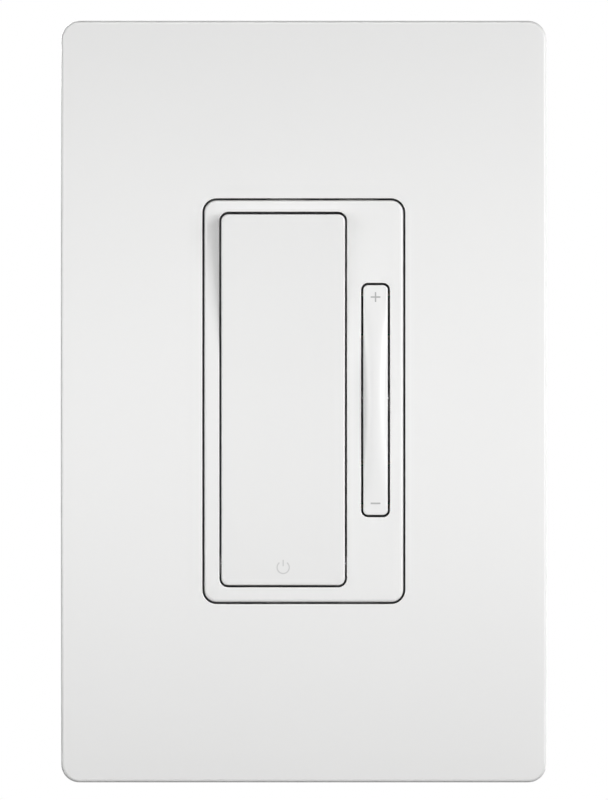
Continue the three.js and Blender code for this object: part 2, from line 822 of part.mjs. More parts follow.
function pocketLiner({ side, z }) {
  const half = POCKET_SIZE / 2 + 1.2;
  const far = HOUSING_WIDTH / 2 - 0.1;
  return sideBlock(side, pocketFloor() - 1.2, far, POCKET_Y - half, POCKET_Y + half, z - half, z + half);
}

function pocket({ side, z }) {
  const half = POCKET_SIZE / 2;
  const far = HOUSING_WIDTH / 2 + 1;
  return sideBlock(side, pocketFloor(), far, POCKET_Y - half, POCKET_Y + half, z - half, z + half);
}

function boardLedges() {
  return [-1, 1].map((side) =>
    sideBlock(
      side,
      INNER_X - 2,
      INNER_X + 0.1,
      CONTROL_BACK + SEAT_GAP,
      POCKET_Y,
      -LEDGE_LENGTH / 2,
      LEDGE_LENGTH / 2,
    ),
  );
}

function powerPosts() {
  const half = 2;
  const floor = HOUSING_DEPTH - HOUSING_WALL + 0.1;
  const top = POWER_BOARD_Y + BOARD_THICK + SEAT_GAP;
  return [-12, 12].map((x) => block(x - half, x + half, top, floor, -half, half));
}

function backHousing() {
  const tub = slab(HOUSING_WIDTH, HOUSING_HEIGHT, HOUSING_CORNER, 0, 0, HOUSING_DEPTH, 0);
  const hollow = slab(
    2 * INNER_X,
    2 * INNER_Z,
    HOUSING_CORNER - 1,
    0,
    0,
    HOUSING_DEPTH - HOUSING_WALL,
    -1,
  );
  const columns = pillars().map(([x, z]) =>
    rod("y", PILLAR_RADIUS, 0, HOUSING_DEPTH, x, z),
  );
  const insides = [...columns, ...terminals().map(pocketLiner), ...boardLedges(), ...powerPosts()];
  const head = HOUSING_SCREW_HEAD_RADIUS + SEAT_GAP;
  const bores = pillars().flatMap(([x, z]) => [
    rod("y", HOUSING_SCREW_RADIUS + SEAT_GAP, -1, HOUSING_DEPTH + 1, x, z),
    rod("y", head, HOUSING_DEPTH - HEAD_RECESS, HOUSING_DEPTH + 1, x, z),
  ]);
  const body = join([cut(tub, [hollow]), ...insides]);
  return cut(body, [...bores, ...terminals().map(pocket)]);
}

const HEAD_RECESS = 2.4;

function housingScrew(x, z) {
  const seat = HOUSING_DEPTH - HEAD_RECESS;
  return screw("y", seat, -1, seat + STRAP_THICK - 0.2, x, z, HOUSING_SCREW);
}

// ---- boards and what they carry ----

function boardBlank(y, low, high) {
  const half = INNER_X - BOARD_GAP;
  const sheet = block(-half, half, y, y + BOARD_THICK, low, high);
  const corners = pillars().map(([x, z]) =>
    rod("y", PILLAR_RADIUS + BOARD_GAP, y - 1, y + BOARD_THICK + 1, x, z),
  );
  return cut(sheet, corners);
}

function controlBoard() {
  return boardBlank(CONTROL_BOARD_Y, -INNER_Z + BOARD_GAP, CONTROL_BOARD_TOP);
}

function powerBoard() {
  return boardBlank(POWER_BOARD_Y, -INNER_Z + BOARD_GAP, INNER_Z - BOARD_GAP);
}

function insulatorSheet() {
  const half = INNER_X - BOARD_GAP;
  const y = [SEAT_GAP, SEAT_GAP + INSULATOR_THICK];
  const sheet = block(-half, half, ...y, -INNER_Z + BOARD_GAP, CONTROL_BOARD_TOP);
  const corners = pillars().map(([x, z]) => rod("y", PILLAR_RADIUS + BOARD_GAP, -1, 3, x, z));
  const tactHalf = TACT_SIZE / 2 + SEAT_GAP;
  const windows = TACTS.map(({ x, z }) =>
    block(x - tactHalf, x + tactHalf, -1, 3, z - tactHalf, z + tactHalf),
  );
  return cut(sheet, [...corners, ...windows]);
}

function tactBody({ x, z }) {
  const half = TACT_SIZE / 2;
  const body = block(x - half, x + half, TACT_FRONT, CONTROL_BOARD_Y, z - half, z + half);
  return cut(body, [rod("y", PLUNGER_RADIUS + SEAT_GAP, TACT_FRONT - 1, CONTROL_BOARD_Y - 0.8, x, z)]);
}

function tactPlunger({ x, z }) {
  return rod("y", PLUNGER_RADIUS, PLUNGER_FRONT, TACT_FRONT + 1.4, x, z);
}

function controlChip() {
  return block(-9, -1, CONTROL_BACK, CONTROL_BACK + 1.3, 2, 10);
}

function boardHeader() {
  return block(-14.6, -12.1, CONTROL_BACK, POWER_BOARD_Y, -6, 8);
}

const TRIAC_Z = 24.3;
const TRIAC_HALF = 4.6;
const TRIAC_PAD = 0.4;
const TRIAC_SCREW_AT = [-11.7, TRIAC_Z];

function triacPad() {
  const pad = block(-14.4, 0.8, 0, TRIAC_PAD, TRIAC_Z - TRIAC_HALF, TRIAC_Z + TRIAC_HALF);
  return cut(pad, [rod("y", HOUSING_SCREW_RADIUS + SEAT_GAP, -1, 3, ...TRIAC_SCREW_AT)]);
}

// The power switch: a metal tab, a moulded body and three leads bent back to the power board.
function triac() {
  const [low, high] = [TRIAC_Z - TRIAC_HALF, TRIAC_Z + TRIAC_HALF];
  const tab = block(-14.4, -1, TRIAC_PAD, TRIAC_PAD + 1.3, low, high);
  const body = block(-8.7, 0.3, TRIAC_PAD + 0.3, TRIAC_PAD + 4.4, low, high);
  const hole = rod("y", HOUSING_SCREW_RADIUS + SEAT_GAP, -1, 5, ...TRIAC_SCREW_AT);
  const leads = [-2.54, 0, 2.54].flatMap((dz) => {
    const z = [TRIAC_Z + dz - 0.4, TRIAC_Z + dz + 0.4];
    return [
      block(-0.2, 2.6, TRIAC_PAD + 2, TRIAC_PAD + 2.6, ...z),
      block(2.0, 2.6, TRIAC_PAD + 2, POWER_BOARD_Y, ...z),
    ];
  });
  return cut(join([tab, body, ...leads]), [hole]);
}

function triacScrew() {
  return screw("y", TRIAC_PAD + 1.3, -1, TRIAC_PAD + 2.7, ...TRIAC_SCREW_AT, HOUSING_SCREW);
}

const CHOKE = { x: -3, z: -14, outer: 9.5, inner: 4.5, height: 8 };

function ring(outer, inner, height, y) {
  const outerRod = rod("y", outer, y - height, y, CHOKE.x, CHOKE.z, 32);
  return cut(outerRod, [rod("y", inner, y - height - 1, y + 1, CHOKE.x, CHOKE.z, 32)]);
}

function chokeCore() {
  return ring(CHOKE.outer, CHOKE.inner, CHOKE.height, POWER_BOARD_Y - 1.4);
}

// The winding wraps most of the core and leaves it bare at one side.
function chokeWinding() {
  const wrap = ring(CHOKE.outer + 1, CHOKE.inner - 1, CHOKE.height + 2, POWER_BOARD_Y - 0.4);
  const grown = ring(
    CHOKE.outer + SEAT_GAP,
    CHOKE.inner - SEAT_GAP,
    CHOKE.height + 2 * SEAT_GAP,
    POWER_BOARD_Y - 1.4 + SEAT_GAP,
  );
  const bare = block(
    CHOKE.x - 2,
    CHOKE.x + 2,
    POWER_BOARD_Y - CHOKE.height - 4,
    POWER_BOARD_Y,
    CHOKE.z - CHOKE.outer - 3,
    CHOKE.z,
  );
  return cut(wrap, [grown, bare]);
}

function filmCapacitor() {
  return block(-9.3, 3.3, POWER_BOARD_Y - 12, POWER_BOARD_Y, -1.9, 4.3);
}

function electrolyticCapacitor() {
  return rod("y", 4, POWER_BOARD_Y - 14, POWER_BOARD_Y, 10, -24, 32);
}

function varistor() {
  const disc = new THREE.CylinderGeometry(5, 5, 3.6, 28);
  disc.rotateX(Math.PI / 2);
  disc.translate(9.4, POWER_BOARD_Y - 7, -2.5);
  const legs = [6.6, 12.2].map((x) =>
    block(x - 0.4, x + 0.4, POWER_BOARD_Y - 7, POWER_BOARD_Y, -2.9, -2.1),
  );
  return join([solid(disc), ...legs]);
}

function fuse() {
  const y = POWER_BOARD_Y - 3.6;
  const glass = rod("x", 2.3, -8, 8, y, 8.6);
  const caps = [-1, 1].map((side) => rod("x", 2.6, side * 8 - 2, side * 8 + 2, y, 8.6));
  const feet = [-8, 8].map((x) => block(x - 1, x + 1, y, POWER_BOARD_Y, 8.1, 9.1));
  return join([glass, ...caps, ...feet]);
}

// ---- wire terminals ----

function terminalBlank({ side, z }, near, thick, hole) {
  const half = TERMINAL_PLATE / 2;
  const blank = sideBlock(side, near, near + thick, POCKET_Y - half, POCKET_Y + half, z - half, z + half);
  return cut(blank, [rod("x", hole, side * near - 3, side * near + 3, POCKET_Y, z)]);
}

function contactPlate(terminal) {
  return terminalBlank(terminal, pocketFloor() + SEAT_GAP, 1.0, SCREW_RADIUS + SEAT_GAP);
}

function clampPlate(terminal) {
  return terminalBlank(terminal, pocketFloor() + 2.1, 1.0, SCREW_RADIUS + SEAT_GAP);
}

function terminalScrew({ side, z }) {
  const seat = side * (pocketFloor() + 3.4);
  return screw("x", seat, -side, 3.1, POCKET_Y, z, PLATE_SCREW);
}

// ---- materials ----

function material(color, roughness, metalness = 0) {
  return new THREE.MeshStandardMaterial({ color, roughness, metalness });
}

const WHITE_GLOSS = () => material(0xf2f2f0, 0.3);
const WHITE_INNER = () => material(0xe4e4e0, 0.5);
const STEEL = () => material(0xb9bcc0, 0.35, 1);
const BRASS = () => material(0xc9a35a, 0.35, 1);
const ZINC = () => material(0xc8ccd0, 0.4, 1);
const BLACK = () => material(0x1c1c1e, 0.5);

// ---- the object ----

const dimmer = new THREE.Group();

function addPart(name, shape, look) {
  const { numProp, vertProperties, triVerts } = shape.getMesh();
  const geometry = new THREE.BufferGeometry();
  const buffer = new THREE.InterleavedBuffer(vertProperties, numProp);
  geometry.setAttribute("position", new THREE.InterleavedBufferAttribute(buffer, 3, 0));
  geometry.setIndex(new THREE.BufferAttribute(triVerts, 1));
  const flat = geometry.toNonIndexed();
  flat.computeVertexNormals();
  const mesh = new THREE.Mesh(flat, look);
  mesh.name = name;
  dimmer.add(mesh);
}

addPart("wall_plate_cover", wallPlateCover(), WHITE_GLOSS());
addPart("wall_plate_subframe", wallPlateSubframe(), WHITE_INNER());
addPart("subframe_screw_top", subframeScrew(1), ZINC());
addPart("subframe_screw_bottom", subframeScrew(-1), ZINC());

addPart("mounting_strap", mountingStrap(), STEEL());
addPart("box_screw_top", boxScrew(1), ZINC());
addPart("box_screw_bottom", boxScrew(-1), ZINC());
addPart("screw_retainer_top", screwRetainer(1), material(0x8a5a3a, 0.8));
addPart("screw_retainer_bottom", screwRetainer(-1), material(0x8a5a3a, 0.8));
addPart("ground_screw", groundScrew(), material(0x2f8f4a, 0.4, 0.8));

addPart("device_frame", deviceFrame(), WHITE_GLOSS());
addPart("paddle", paddle(), WHITE_GLOSS());
addPart("paddle_pivot_pin", paddlePin(), STEEL());
addPart("paddle_return_spring", paddleSpring(), STEEL());
addPart("dim_bar", dimBar(), WHITE_GLOSS());
addPart("bar_pivot_pin", barPin(), STEEL());

addPart("back_housing", backHousing(), BLACK());
pillars().forEach(([x, z], i) => {
  addPart(`housing_screw_${i + 1}`, housingScrew(x, z), ZINC());
});

addPart("insulator_sheet", insulatorSheet(), material(0xd8d2b8, 0.6));
addPart("control_board", controlBoard(), material(0x1f6a3c, 0.5));
addPart("control_chip", controlChip(), BLACK());
for (const tact of TACTS) {
  addPart(`${tact.name}_body`, tactBody(tact), BLACK());
  addPart(`${tact.name}_plunger`, tactPlunger(tact), material(0x3a3a3c, 0.5));
}
addPart("board_header", boardHeader(), BLACK());
addPart("power_board", powerBoard(), material(0x1f6a3c, 0.5));
addPart("triac", triac(), BLACK());
addPart("triac_pad", triacPad(), material(0xb8b8b4, 0.7));
addPart("triac_screw", triacScrew(), ZINC());
addPart("choke_core", chokeCore(), material(0x3c4a3c, 0.7));
addPart("choke_winding", chokeWinding(), material(0xb5652d, 0.35, 0.9));
addPart("film_capacitor", filmCapacitor(), material(0xc9a227, 0.5));
addPart("electrolytic_capacitor", electrolyticCapacitor(), material(0x20242c, 0.4));
addPart("varistor", varistor(), material(0x2b5fa8, 0.5));
addPart("fuse", fuse(), material(0xd0d4d6, 0.3));

for (const terminal of terminals()) {
  const screwLook = terminal.name === "neutral" ? ZINC() : BRASS();
  addPart(`${terminal.name}_contact_plate`, contactPlate(terminal), BRASS());
  addPart(`${terminal.name}_clamp_plate`, clampPlate(terminal), BRASS());
  addPart(`${terminal.name}_terminal_screw`, terminalScrew(terminal), screwLook);
}

export default dimmer;
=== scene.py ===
# Looks for a one-gang dimmer switch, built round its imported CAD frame. Lengths are in metres.
import json
import math

import bmesh
import bpy
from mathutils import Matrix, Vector, geometry


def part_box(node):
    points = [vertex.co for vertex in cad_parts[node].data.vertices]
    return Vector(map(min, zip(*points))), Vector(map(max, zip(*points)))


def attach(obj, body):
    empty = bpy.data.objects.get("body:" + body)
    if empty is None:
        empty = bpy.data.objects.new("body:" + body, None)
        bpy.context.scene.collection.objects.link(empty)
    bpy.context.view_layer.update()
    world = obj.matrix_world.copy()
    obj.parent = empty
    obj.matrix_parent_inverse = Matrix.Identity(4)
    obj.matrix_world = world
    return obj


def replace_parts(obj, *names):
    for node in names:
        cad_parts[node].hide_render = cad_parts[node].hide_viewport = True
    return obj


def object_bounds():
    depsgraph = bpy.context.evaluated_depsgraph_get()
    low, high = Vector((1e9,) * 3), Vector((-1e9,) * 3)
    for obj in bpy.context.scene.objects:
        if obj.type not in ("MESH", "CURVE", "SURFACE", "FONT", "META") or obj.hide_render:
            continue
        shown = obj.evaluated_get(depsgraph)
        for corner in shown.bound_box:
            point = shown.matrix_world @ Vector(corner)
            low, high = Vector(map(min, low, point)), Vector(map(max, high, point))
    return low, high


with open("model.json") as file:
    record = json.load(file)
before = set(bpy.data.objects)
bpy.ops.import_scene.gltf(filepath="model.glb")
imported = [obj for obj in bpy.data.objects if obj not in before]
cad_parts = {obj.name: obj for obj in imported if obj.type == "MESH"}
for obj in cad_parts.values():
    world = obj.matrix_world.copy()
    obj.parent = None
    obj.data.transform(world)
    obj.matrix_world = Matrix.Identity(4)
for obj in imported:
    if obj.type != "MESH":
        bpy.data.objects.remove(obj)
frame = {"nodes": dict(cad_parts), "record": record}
CAD_BOX = [list(corner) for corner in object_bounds()]
MM = 0.001

# ---------------------------------------------------------------- camera

VIEW_HEIGHT = 131.62 * MM  # how much of the object's front the picture's height takes in
VIEW_CENTRE = (0.03 * MM, 0.26 * MM)  # x and z that the picture's centre shows
CAMERA_DISTANCE = 1.0
SENSOR = 36.0

cover_low, cover_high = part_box("wall_plate_cover")
face_y = cover_low[1]
camera_data = bpy.data.cameras.new("camera")
camera_data.sensor_width = SENSOR
camera_data.lens = SENSOR * CAMERA_DISTANCE / VIEW_HEIGHT
camera_data.clip_start = 0.01
camera = bpy.data.objects.new("camera", camera_data)
camera.location = (VIEW_CENTRE[0], face_y - CAMERA_DISTANCE, VIEW_CENTRE[1])
camera.rotation_euler = (math.pi / 2, 0.0, 0.0)
bpy.context.scene.collection.objects.link(camera)
bpy.context.scene.camera = camera

# ---------------------------------------------------------------- light and floor

FLOOR_DROP = 30 * MM  # from the object's lowest edge
FLOOR_SOLID = 0.18  # radius where the floor starts to fade into the white background
FLOOR_END = 0.38  # radius where it has faded out
FLOOR_GLOW = 0.2  # emission, because it is pale without lighting anything
AMBIENT = 0.04
# name: (place, width, height, power in watts); each one faces the object's origin
# one whose name starts with near isn't seen in reflections, and one with gloss only in them
LIGHTS = {
    "right": ((1.10, -0.90, 0.30), 0.9, 0.9, 15.0),
    "left": ((-1.10, -0.90, 0.20), 0.9, 0.9, 5.5),
    "top": ((0.10, -0.35, 1.25), 1.2, 1.0, 0.6),
    "under": ((0.0, -0.30, -1.10), 1.2, 0.8, 1.6),
    "near": ((0.0, -0.14, -0.01), 1.0, 0.04, 0.275),
    "near_up": ((0.0, -0.14, 0.03), 1.0, 0.04, 0.1),
    "gloss_top": ((0.0, -0.80, 1.00), 1.2, 0.7, 8.0),
    "gloss_left": ((-1.00, -0.80, 0.10), 0.7, 1.2, 5.0),
    "back_left": ((-0.70, 1.20, 0.60), 1.0, 1.0, 22.0),
    "back_right": ((1.10, 0.90, 0.10), 0.6, 1.2, 9.0),
}


def add_area(name, place, width, height, power):
    data = bpy.data.lights.new(name, "AREA")
    data.energy = power
    data.shape = "RECTANGLE"
    data.size = width
    data.size_y = height
    light = bpy.data.objects.new(name, data)
    light.location = place
    light.rotation_euler = (-Vector(place)).to_track_quat("-Z", "Y").to_euler()
    light.visible_camera = False
    light.visible_glossy = not name.startswith("near")
    light.visible_diffuse = not name.startswith("gloss")
    bpy.context.scene.collection.objects.link(light)


def build_world():
    """White where the camera looks past the object, and a softer white as ambient light."""
    world = bpy.data.worlds.new("studio")
    bpy.context.scene.world = world
    world.use_nodes = True
    nodes, links = world.node_tree.nodes, world.node_tree.links
    nodes.clear()
    output = nodes.new("ShaderNodeOutputWorld")
    mix = nodes.new("ShaderNodeMixShader")
    path = nodes.new("ShaderNodeLightPath")
    links.new(path.outputs["Is Camera Ray"], mix.inputs["Fac"])
    for slot, strength in ((1, AMBIENT), (2, 1.0)):
        background = nodes.new("ShaderNodeBackground")
        background.inputs["Color"].default_value = (1, 1, 1, 1)
        background.inputs["Strength"].default_value = strength
        links.new(background.outputs[0], mix.inputs[slot])
    links.new(mix.outputs[0], output.inputs["Surface"])


def build_floor():
    """A pale floor that fades out, with no horizon. It neither lights nor shades the object."""
    z = CAD_BOX[0][2] - FLOOR_DROP
    mesh = bpy.data.meshes.new("floor")
    size = FLOOR_END * 1.1
    corners = [(-size, -size, z), (size, -size, z), (size, size, z), (-size, size, z)]
    mesh.from_pydata(corners, [], [(0, 1, 2, 3)])
    floor = bpy.data.objects.new("floor", mesh)
    bpy.context.scene.collection.objects.link(floor)
    material = bpy.data.materials.new("floor")
    material.use_nodes = True
    nodes, links = material.node_tree.nodes, material.node_tree.links
    shader = nodes["Principled BSDF"]
    shader.inputs["Base Color"].default_value = (0.8, 0.8, 0.8, 1)
    shader.inputs["Roughness"].default_value = 0.9
    shader.inputs["Specular IOR Level"].default_value = 0.0
    shader.inputs["Emission Color"].default_value = (1, 1, 1, 1)
    shader.inputs["Emission Strength"].default_value = FLOOR_GLOW
    floor.visible_diffuse = False
    floor.visible_glossy = False
    floor.visible_shadow = False
    coords = nodes.new("ShaderNodeTexCoord")
    flat = nodes.new("ShaderNodeVectorMath")
    flat.operation = "MULTIPLY"
    flat.inputs[1].default_value = (1, 1, 0)
    length = nodes.new("ShaderNodeVectorMath")
    length.operation = "LENGTH"
    fade = nodes.new("ShaderNodeMapRange")
    fade.interpolation_type = "SMOOTHSTEP"
    fade.inputs["From Min"].default_value = FLOOR_SOLID
    fade.inputs["From Max"].default_value = FLOOR_END
    clear = nodes.new("ShaderNodeBsdfTransparent")
    mix = nodes.new("ShaderNodeMixShader")
    links.new(coords.outputs["Object"], flat.inputs[0])
    links.new(flat.outputs[0], length.inputs[0])
    links.new(length.outputs["Value"], fade.inputs["Value"])
    links.new(fade.outputs[0], mix.inputs["Fac"])
    links.new(shader.outputs[0], mix.inputs[1])
    links.new(clear.outputs[0], mix.inputs[2])
    links.new(mix.outputs[0], nodes["Material Output"].inputs["Surface"])
    mesh.materials.append(material)


build_world()
build_floor()
for light_name, light_facts in LIGHTS.items():
    add_area(light_name, *light_facts)
bpy.context.scene.view_settings.view_transform = "Standard"

# ---------------------------------------------------------------- materials

GREY = (0.7, 0.7, 0.7)


class Look:
    """A Principled material being wired: its tree, its shader and the object's coordinates."""

    def __init__(self, name, color, roughness, metallic=0.0):
        self.material = bpy.data.materials.new(name)
        self.material.use_nodes = True
        self.tree = self.material.node_tree
        self.shader = self.tree.nodes["Principled BSDF"]
        self.color = color
        self.roughness = roughness
        self.shader.inputs["Metallic"].default_value = metallic
        self.coords = self.add("ShaderNodeTexCoord").outputs["Object"]
        self.surface = None  # the colour socket so far
        self.normal = None

    def add(self, kind, **inputs):
        node = self.tree.nodes.new(kind)
        for key, value in inputs.items():
            node.inputs[key].default_value = value
        return node

    def link(self, start, end):
        self.tree.links.new(start, end)

    def placed(self, stretch=(1, 1, 1)):
        mapping = self.add("ShaderNodeMapping", Scale=stretch)
        self.link(self.coords, mapping.inputs["Vector"])
        return mapping.outputs[0]

    def noise(self, per_metre, detail=2.0, stretch=(1, 1, 1)):
        node = self.add("ShaderNodeTexNoise", Scale=per_metre, Detail=detail)
        self.link(self.placed(stretch), node.inputs["Vector"])
        return node.outputs[0]

    def cells(self, per_metre, stretch=(1, 1, 1)):
        node = self.add("ShaderNodeTexVoronoi", Scale=per_metre)
        self.link(self.placed(stretch), node.inputs["Vector"])
        return node.outputs["Distance"]

    def waves(self, per_metre, distortion=0.0, direction="X"):
        node = self.add("ShaderNodeTexWave", Scale=per_metre, Distortion=distortion)
        node.bands_direction = direction
        self.link(self.coords, node.inputs["Vector"])
        return node.outputs["Fac"]

    def scaled(self, source, low, high, at=(0.3, 0.7)):
        node = self.add("ShaderNodeMapRange")
        for key, value in zip(("From Min", "From Max", "To Min", "To Max"), (*at, low, high)):
            node.inputs[key].default_value = value
        self.link(source, node.inputs["Value"])
        return node.outputs[0]

    def tint(self, source, other, at=(0.3, 0.7)):
        """Blends towards another colour where the source is high."""
        mix = self.add("ShaderNodeMix")
        mix.data_type = "RGBA"
        if self.surface:
            self.link(self.surface, mix.inputs[6])
        else:
            mix.inputs[6].default_value = (*self.color, 1)
        mix.inputs[7].default_value = (*other, 1)
        self.link(self.scaled(source, 0, 1, at), mix.inputs[0])
        self.surface = mix.outputs[2]
        self.link(self.surface, self.shader.inputs["Base Color"])
        return self

    def rough(self, source, spread, at=(0.3, 0.7)):
        low, high = self.roughness - spread, self.roughness + spread
        self.link(self.scaled(source, low, high, at), self.shader.inputs["Roughness"])
        return self

    def bump(self, source, distance, strength=1.0):
        node = self.add("ShaderNodeBump", Strength=strength, Distance=distance)
        self.link(source, node.inputs["Height"])
        if self.normal:
            self.link(self.normal, node.inputs["Normal"])
        self.normal = node.outputs[0]
        self.link(self.normal, self.shader.inputs["Normal"])
        return self


def darker(color, share):
    return tuple(c * share for c in color)


def moulded_white(name, color, roughness, grain):
    """Satin moulding: faint flow clouds, a fine spark-eroded grain and a patchy sheen."""
    look = Look(name, color, roughness)
    look.tint(look.noise(45, 1), darker(color, 0.992), (0.15, 0.85))
    look.rough(look.noise(350, 2), 0.02, (0.15, 0.85))
    look.bump(look.noise(5200, 2), grain)
    return look.material


def metal(name, color, roughness, tarnish, brushed=(1, 1, 1), depth=0.0015 * MM):
    look = Look(name, color, roughness, 1.0)
    look.tint(look.noise(260, 4), tarnish, (0.35, 0.8))
    look.rough(look.noise(900, 3, brushed), 0.07)
    look.bump(look.noise(2400, 3, brushed), depth)
    return look.material


def plastic(name, color, roughness, grain, other=None):
    look = Look(name, color, roughness)
    look.tint(look.noise(180, 3), other or darker(color, 0.8))
    look.rough(look.noise(1200, 2), 0.06)
    look.bump(look.noise(4200, 2), grain)
    return look.material


def circuit_board():
    """Green solder mask over square-cornered copper runs, with a faint glass weave under it."""
    look = Look("board_green", (0.012, 0.085, 0.035), 0.3)
    runs = look.add("ShaderNodeTexBrick", Scale=110.0, Bias=0.0)
    runs.inputs["Mortar Size"].default_value = 0.12
    look.link(look.placed((1, 1, 1)), runs.inputs["Vector"])
    look.tint(runs.outputs["Fac"], (0.02, 0.15, 0.06), (0.2, 0.8))
    weave = look.waves(900, 0.5, "Z")
    look.tint(weave, (0.01, 0.07, 0.03), (0.8, 1.4))
    look.rough(look.noise(700, 2), 0.05)
    look.bump(runs.outputs["Fac"], 0.03 * MM)
    look.bump(weave, 0.004 * MM)
    return look.material


def wound_wire():
    """Enamelled copper turns lying side by side."""
    look = Look("copper_wire", (0.55, 0.20, 0.07), 0.28, 1.0)
    turns = look.waves(420, 0.4, "DIAGONAL")
    look.tint(turns, (0.22, 0.07, 0.02), (0.75, 1.0))
    look.rough(look.noise(900, 2), 0.06)
    look.bump(turns, 0.12 * MM)
    return look.material


def pressed_fibre():
    look = Look("fibre", (0.26, 0.11, 0.05), 0.85)
    look.tint(look.noise(1500, 4, (1, 1, 3)), (0.38, 0.2, 0.1))
    look.tint(look.cells(900), (0.15, 0.06, 0.03), (0.5, 0.9))
    look.rough(look.noise(2500, 2), 0.08)
    look.bump(look.noise(3500, 4), 0.03 * MM)
    return look.material


def build_looks():
    white = (0.84, 0.84, 0.835)
    looks = {
        "white_gloss": moulded_white("white_gloss", white, 0.25, 0.0012 * MM),
        # the plate's white made 2.8 % darker: painted shade for the paddle's face
        "paddle_gloss": moulded_white("paddle_gloss", darker(white, 0.972), 0.25, 0.0012 * MM),
        "white_inner": moulded_white("white_inner", (0.76, 0.76, 0.74), 0.5, 0.012 * MM),
        # near-black painted shade for the walls deep in the gaps, where real shade falls
        "painted_gap_shade": moulded_white("painted_gap_shade", (0.02, 0.02, 0.02), 0.7, 0.004 * MM),
        "strap_metal": metal(
            "strap_metal", (0.72, 0.73, 0.75), 0.38, (0.6, 0.61, 0.64), (14, 14, 0.6), 0.004 * MM
        ),
        "zinc": metal("zinc", (0.66, 0.68, 0.72), 0.37, (0.5, 0.53, 0.6)),
        "pin_steel": metal("pin_steel", (0.6, 0.6, 0.62), 0.19, (0.5, 0.5, 0.52), (0.4, 9, 9)),
        "spring_steel": metal("spring_steel", (0.42, 0.42, 0.44), 0.38, (0.3, 0.27, 0.25)),
        "green_metal": metal("green_metal", (0.03, 0.3, 0.09), 0.38, (0.02, 0.2, 0.06)),
        "brass": metal(
            "brass", (0.74, 0.52, 0.2), 0.36, (0.64, 0.44, 0.17), (1, 2.5, 1), 0.001 * MM
        ),
        "fibre": pressed_fibre(),
        "black_plastic": plastic("black_plastic", (0.022, 0.022, 0.024), 0.5, 0.03 * MM),
        "board_green": circuit_board(),
        "insulator": plastic("insulator", (0.62, 0.58, 0.42), 0.55, 0.01 * MM, (0.55, 0.5, 0.34)),
        "chip_black": plastic("chip_black", (0.014, 0.014, 0.015), 0.6, 0.02 * MM),
        "tact_black": plastic("tact_black", (0.02, 0.02, 0.022), 0.45, 0.01 * MM),
        "plunger_grey": plastic("plunger_grey", (0.05, 0.05, 0.055), 0.4, 0.008 * MM),
        "pad_grey": plastic("pad_grey", (0.42, 0.42, 0.4), 0.8, 0.02 * MM),
        "ferrite": plastic("ferrite", (0.03, 0.05, 0.035), 0.6, 0.05 * MM),
        "copper_wire": wound_wire(),
        "cap_yellow": plastic("cap_yellow", (0.6, 0.35, 0.03), 0.3, 0.006 * MM, (0.52, 0.3, 0.03)),
        "cap_sleeve": plastic("cap_sleeve", (0.012, 0.016, 0.03), 0.25, 0.004 * MM),
        "varistor_blue": plastic("varistor_blue", (0.02, 0.09, 0.35), 0.3, 0.02 * MM),
        "fuse_white": plastic("fuse_white", (0.66, 0.65, 0.6), 0.35, 0.006 * MM, GREY),
        "print_grey": plastic(
            "print_grey", (0.46, 0.46, 0.46), 0.4, 0.001 * MM, (0.43, 0.43, 0.43)
        ),
        "print_pale": plastic("print_pale", (0.6, 0.6, 0.6), 0.4, 0.001 * MM, (0.57, 0.57, 0.57)),
    }
    return looks


LOOKS = build_looks()

# ---------------------------------------------------------------- mesh building

# the white face, and second the near-black painted shade for the walls deep in a gap
FACE_LOOKS = [LOOKS["white_gloss"], LOOKS["painted_gap_shade"]]
CORNER_STEPS = 10
EDGE_STEPS = 5
ACROSS_STEPS = 14
UP_STEPS = 40


class Outline:
    """A rounded rectangle in X and Z that gives its loop of points at any inset."""

    def __init__(self, low_x, high_x, low_z, high_z, corner):
        self.low_x, self.high_x, self.low_z, self.high_z = low_x, high_x, low_z, high_z
        self.corner = corner

    def grown(self, by):
        corner = max(self.corner + by, 0.02 * MM)
        return Outline(self.low_x - by, self.high_x + by, self.low_z - by, self.high_z + by, corner)

    def loop(self, inset=0.0):
        box = self.grown(-inset)
        r = box.corner
        turns = (
            (box.high_x - r, box.high_z - r, 0),
            (box.low_x + r, box.high_z - r, 1),
            (box.low_x + r, box.low_z + r, 2),
            (box.high_x - r, box.low_z + r, 3),
        )
        points = []
        for number, (x, z, quarter) in enumerate(turns):
            arc = []
            for i in range(CORNER_STEPS + 1):
                angle = math.pi / 2 * (quarter + i / CORNER_STEPS)
                arc.append((x + r * math.cos(angle), z + r * math.sin(angle)))
            points += arc
            next_x, next_z, next_quarter = turns[(number + 1) % 4]
            start_angle = math.pi / 2 * next_quarter
            end = (next_x + r * math.cos(start_angle), next_z + r * math.sin(start_angle))
            steps = ACROSS_STEPS if quarter % 2 == 0 else UP_STEPS
            for i in range(1, steps):
                t = i / steps
                x = arc[-1][0] * (1 - t) + end[0] * t
                points.append((x, arc[-1][1] * (1 - t) + end[1] * t))
        return points

    def holds(self, x, z, margin=0.0):
        inside_x = self.low_x + margin < x < self.high_x - margin
        inside_z = self.low_z + margin < z < self.high_z - margin
        return inside_x and inside_z


def add_loop(bm, points, depth):
    return [bm.verts.new((x, -depth(x, z), z)) for x, z in points]


def wall(bm, near, far, material=0):
    count = len(near)
    for i in range(count):
        j = (i + 1) % count
        face = bm.faces.new((near[i], near[j], far[j], far[i]))
        face.material_index = material


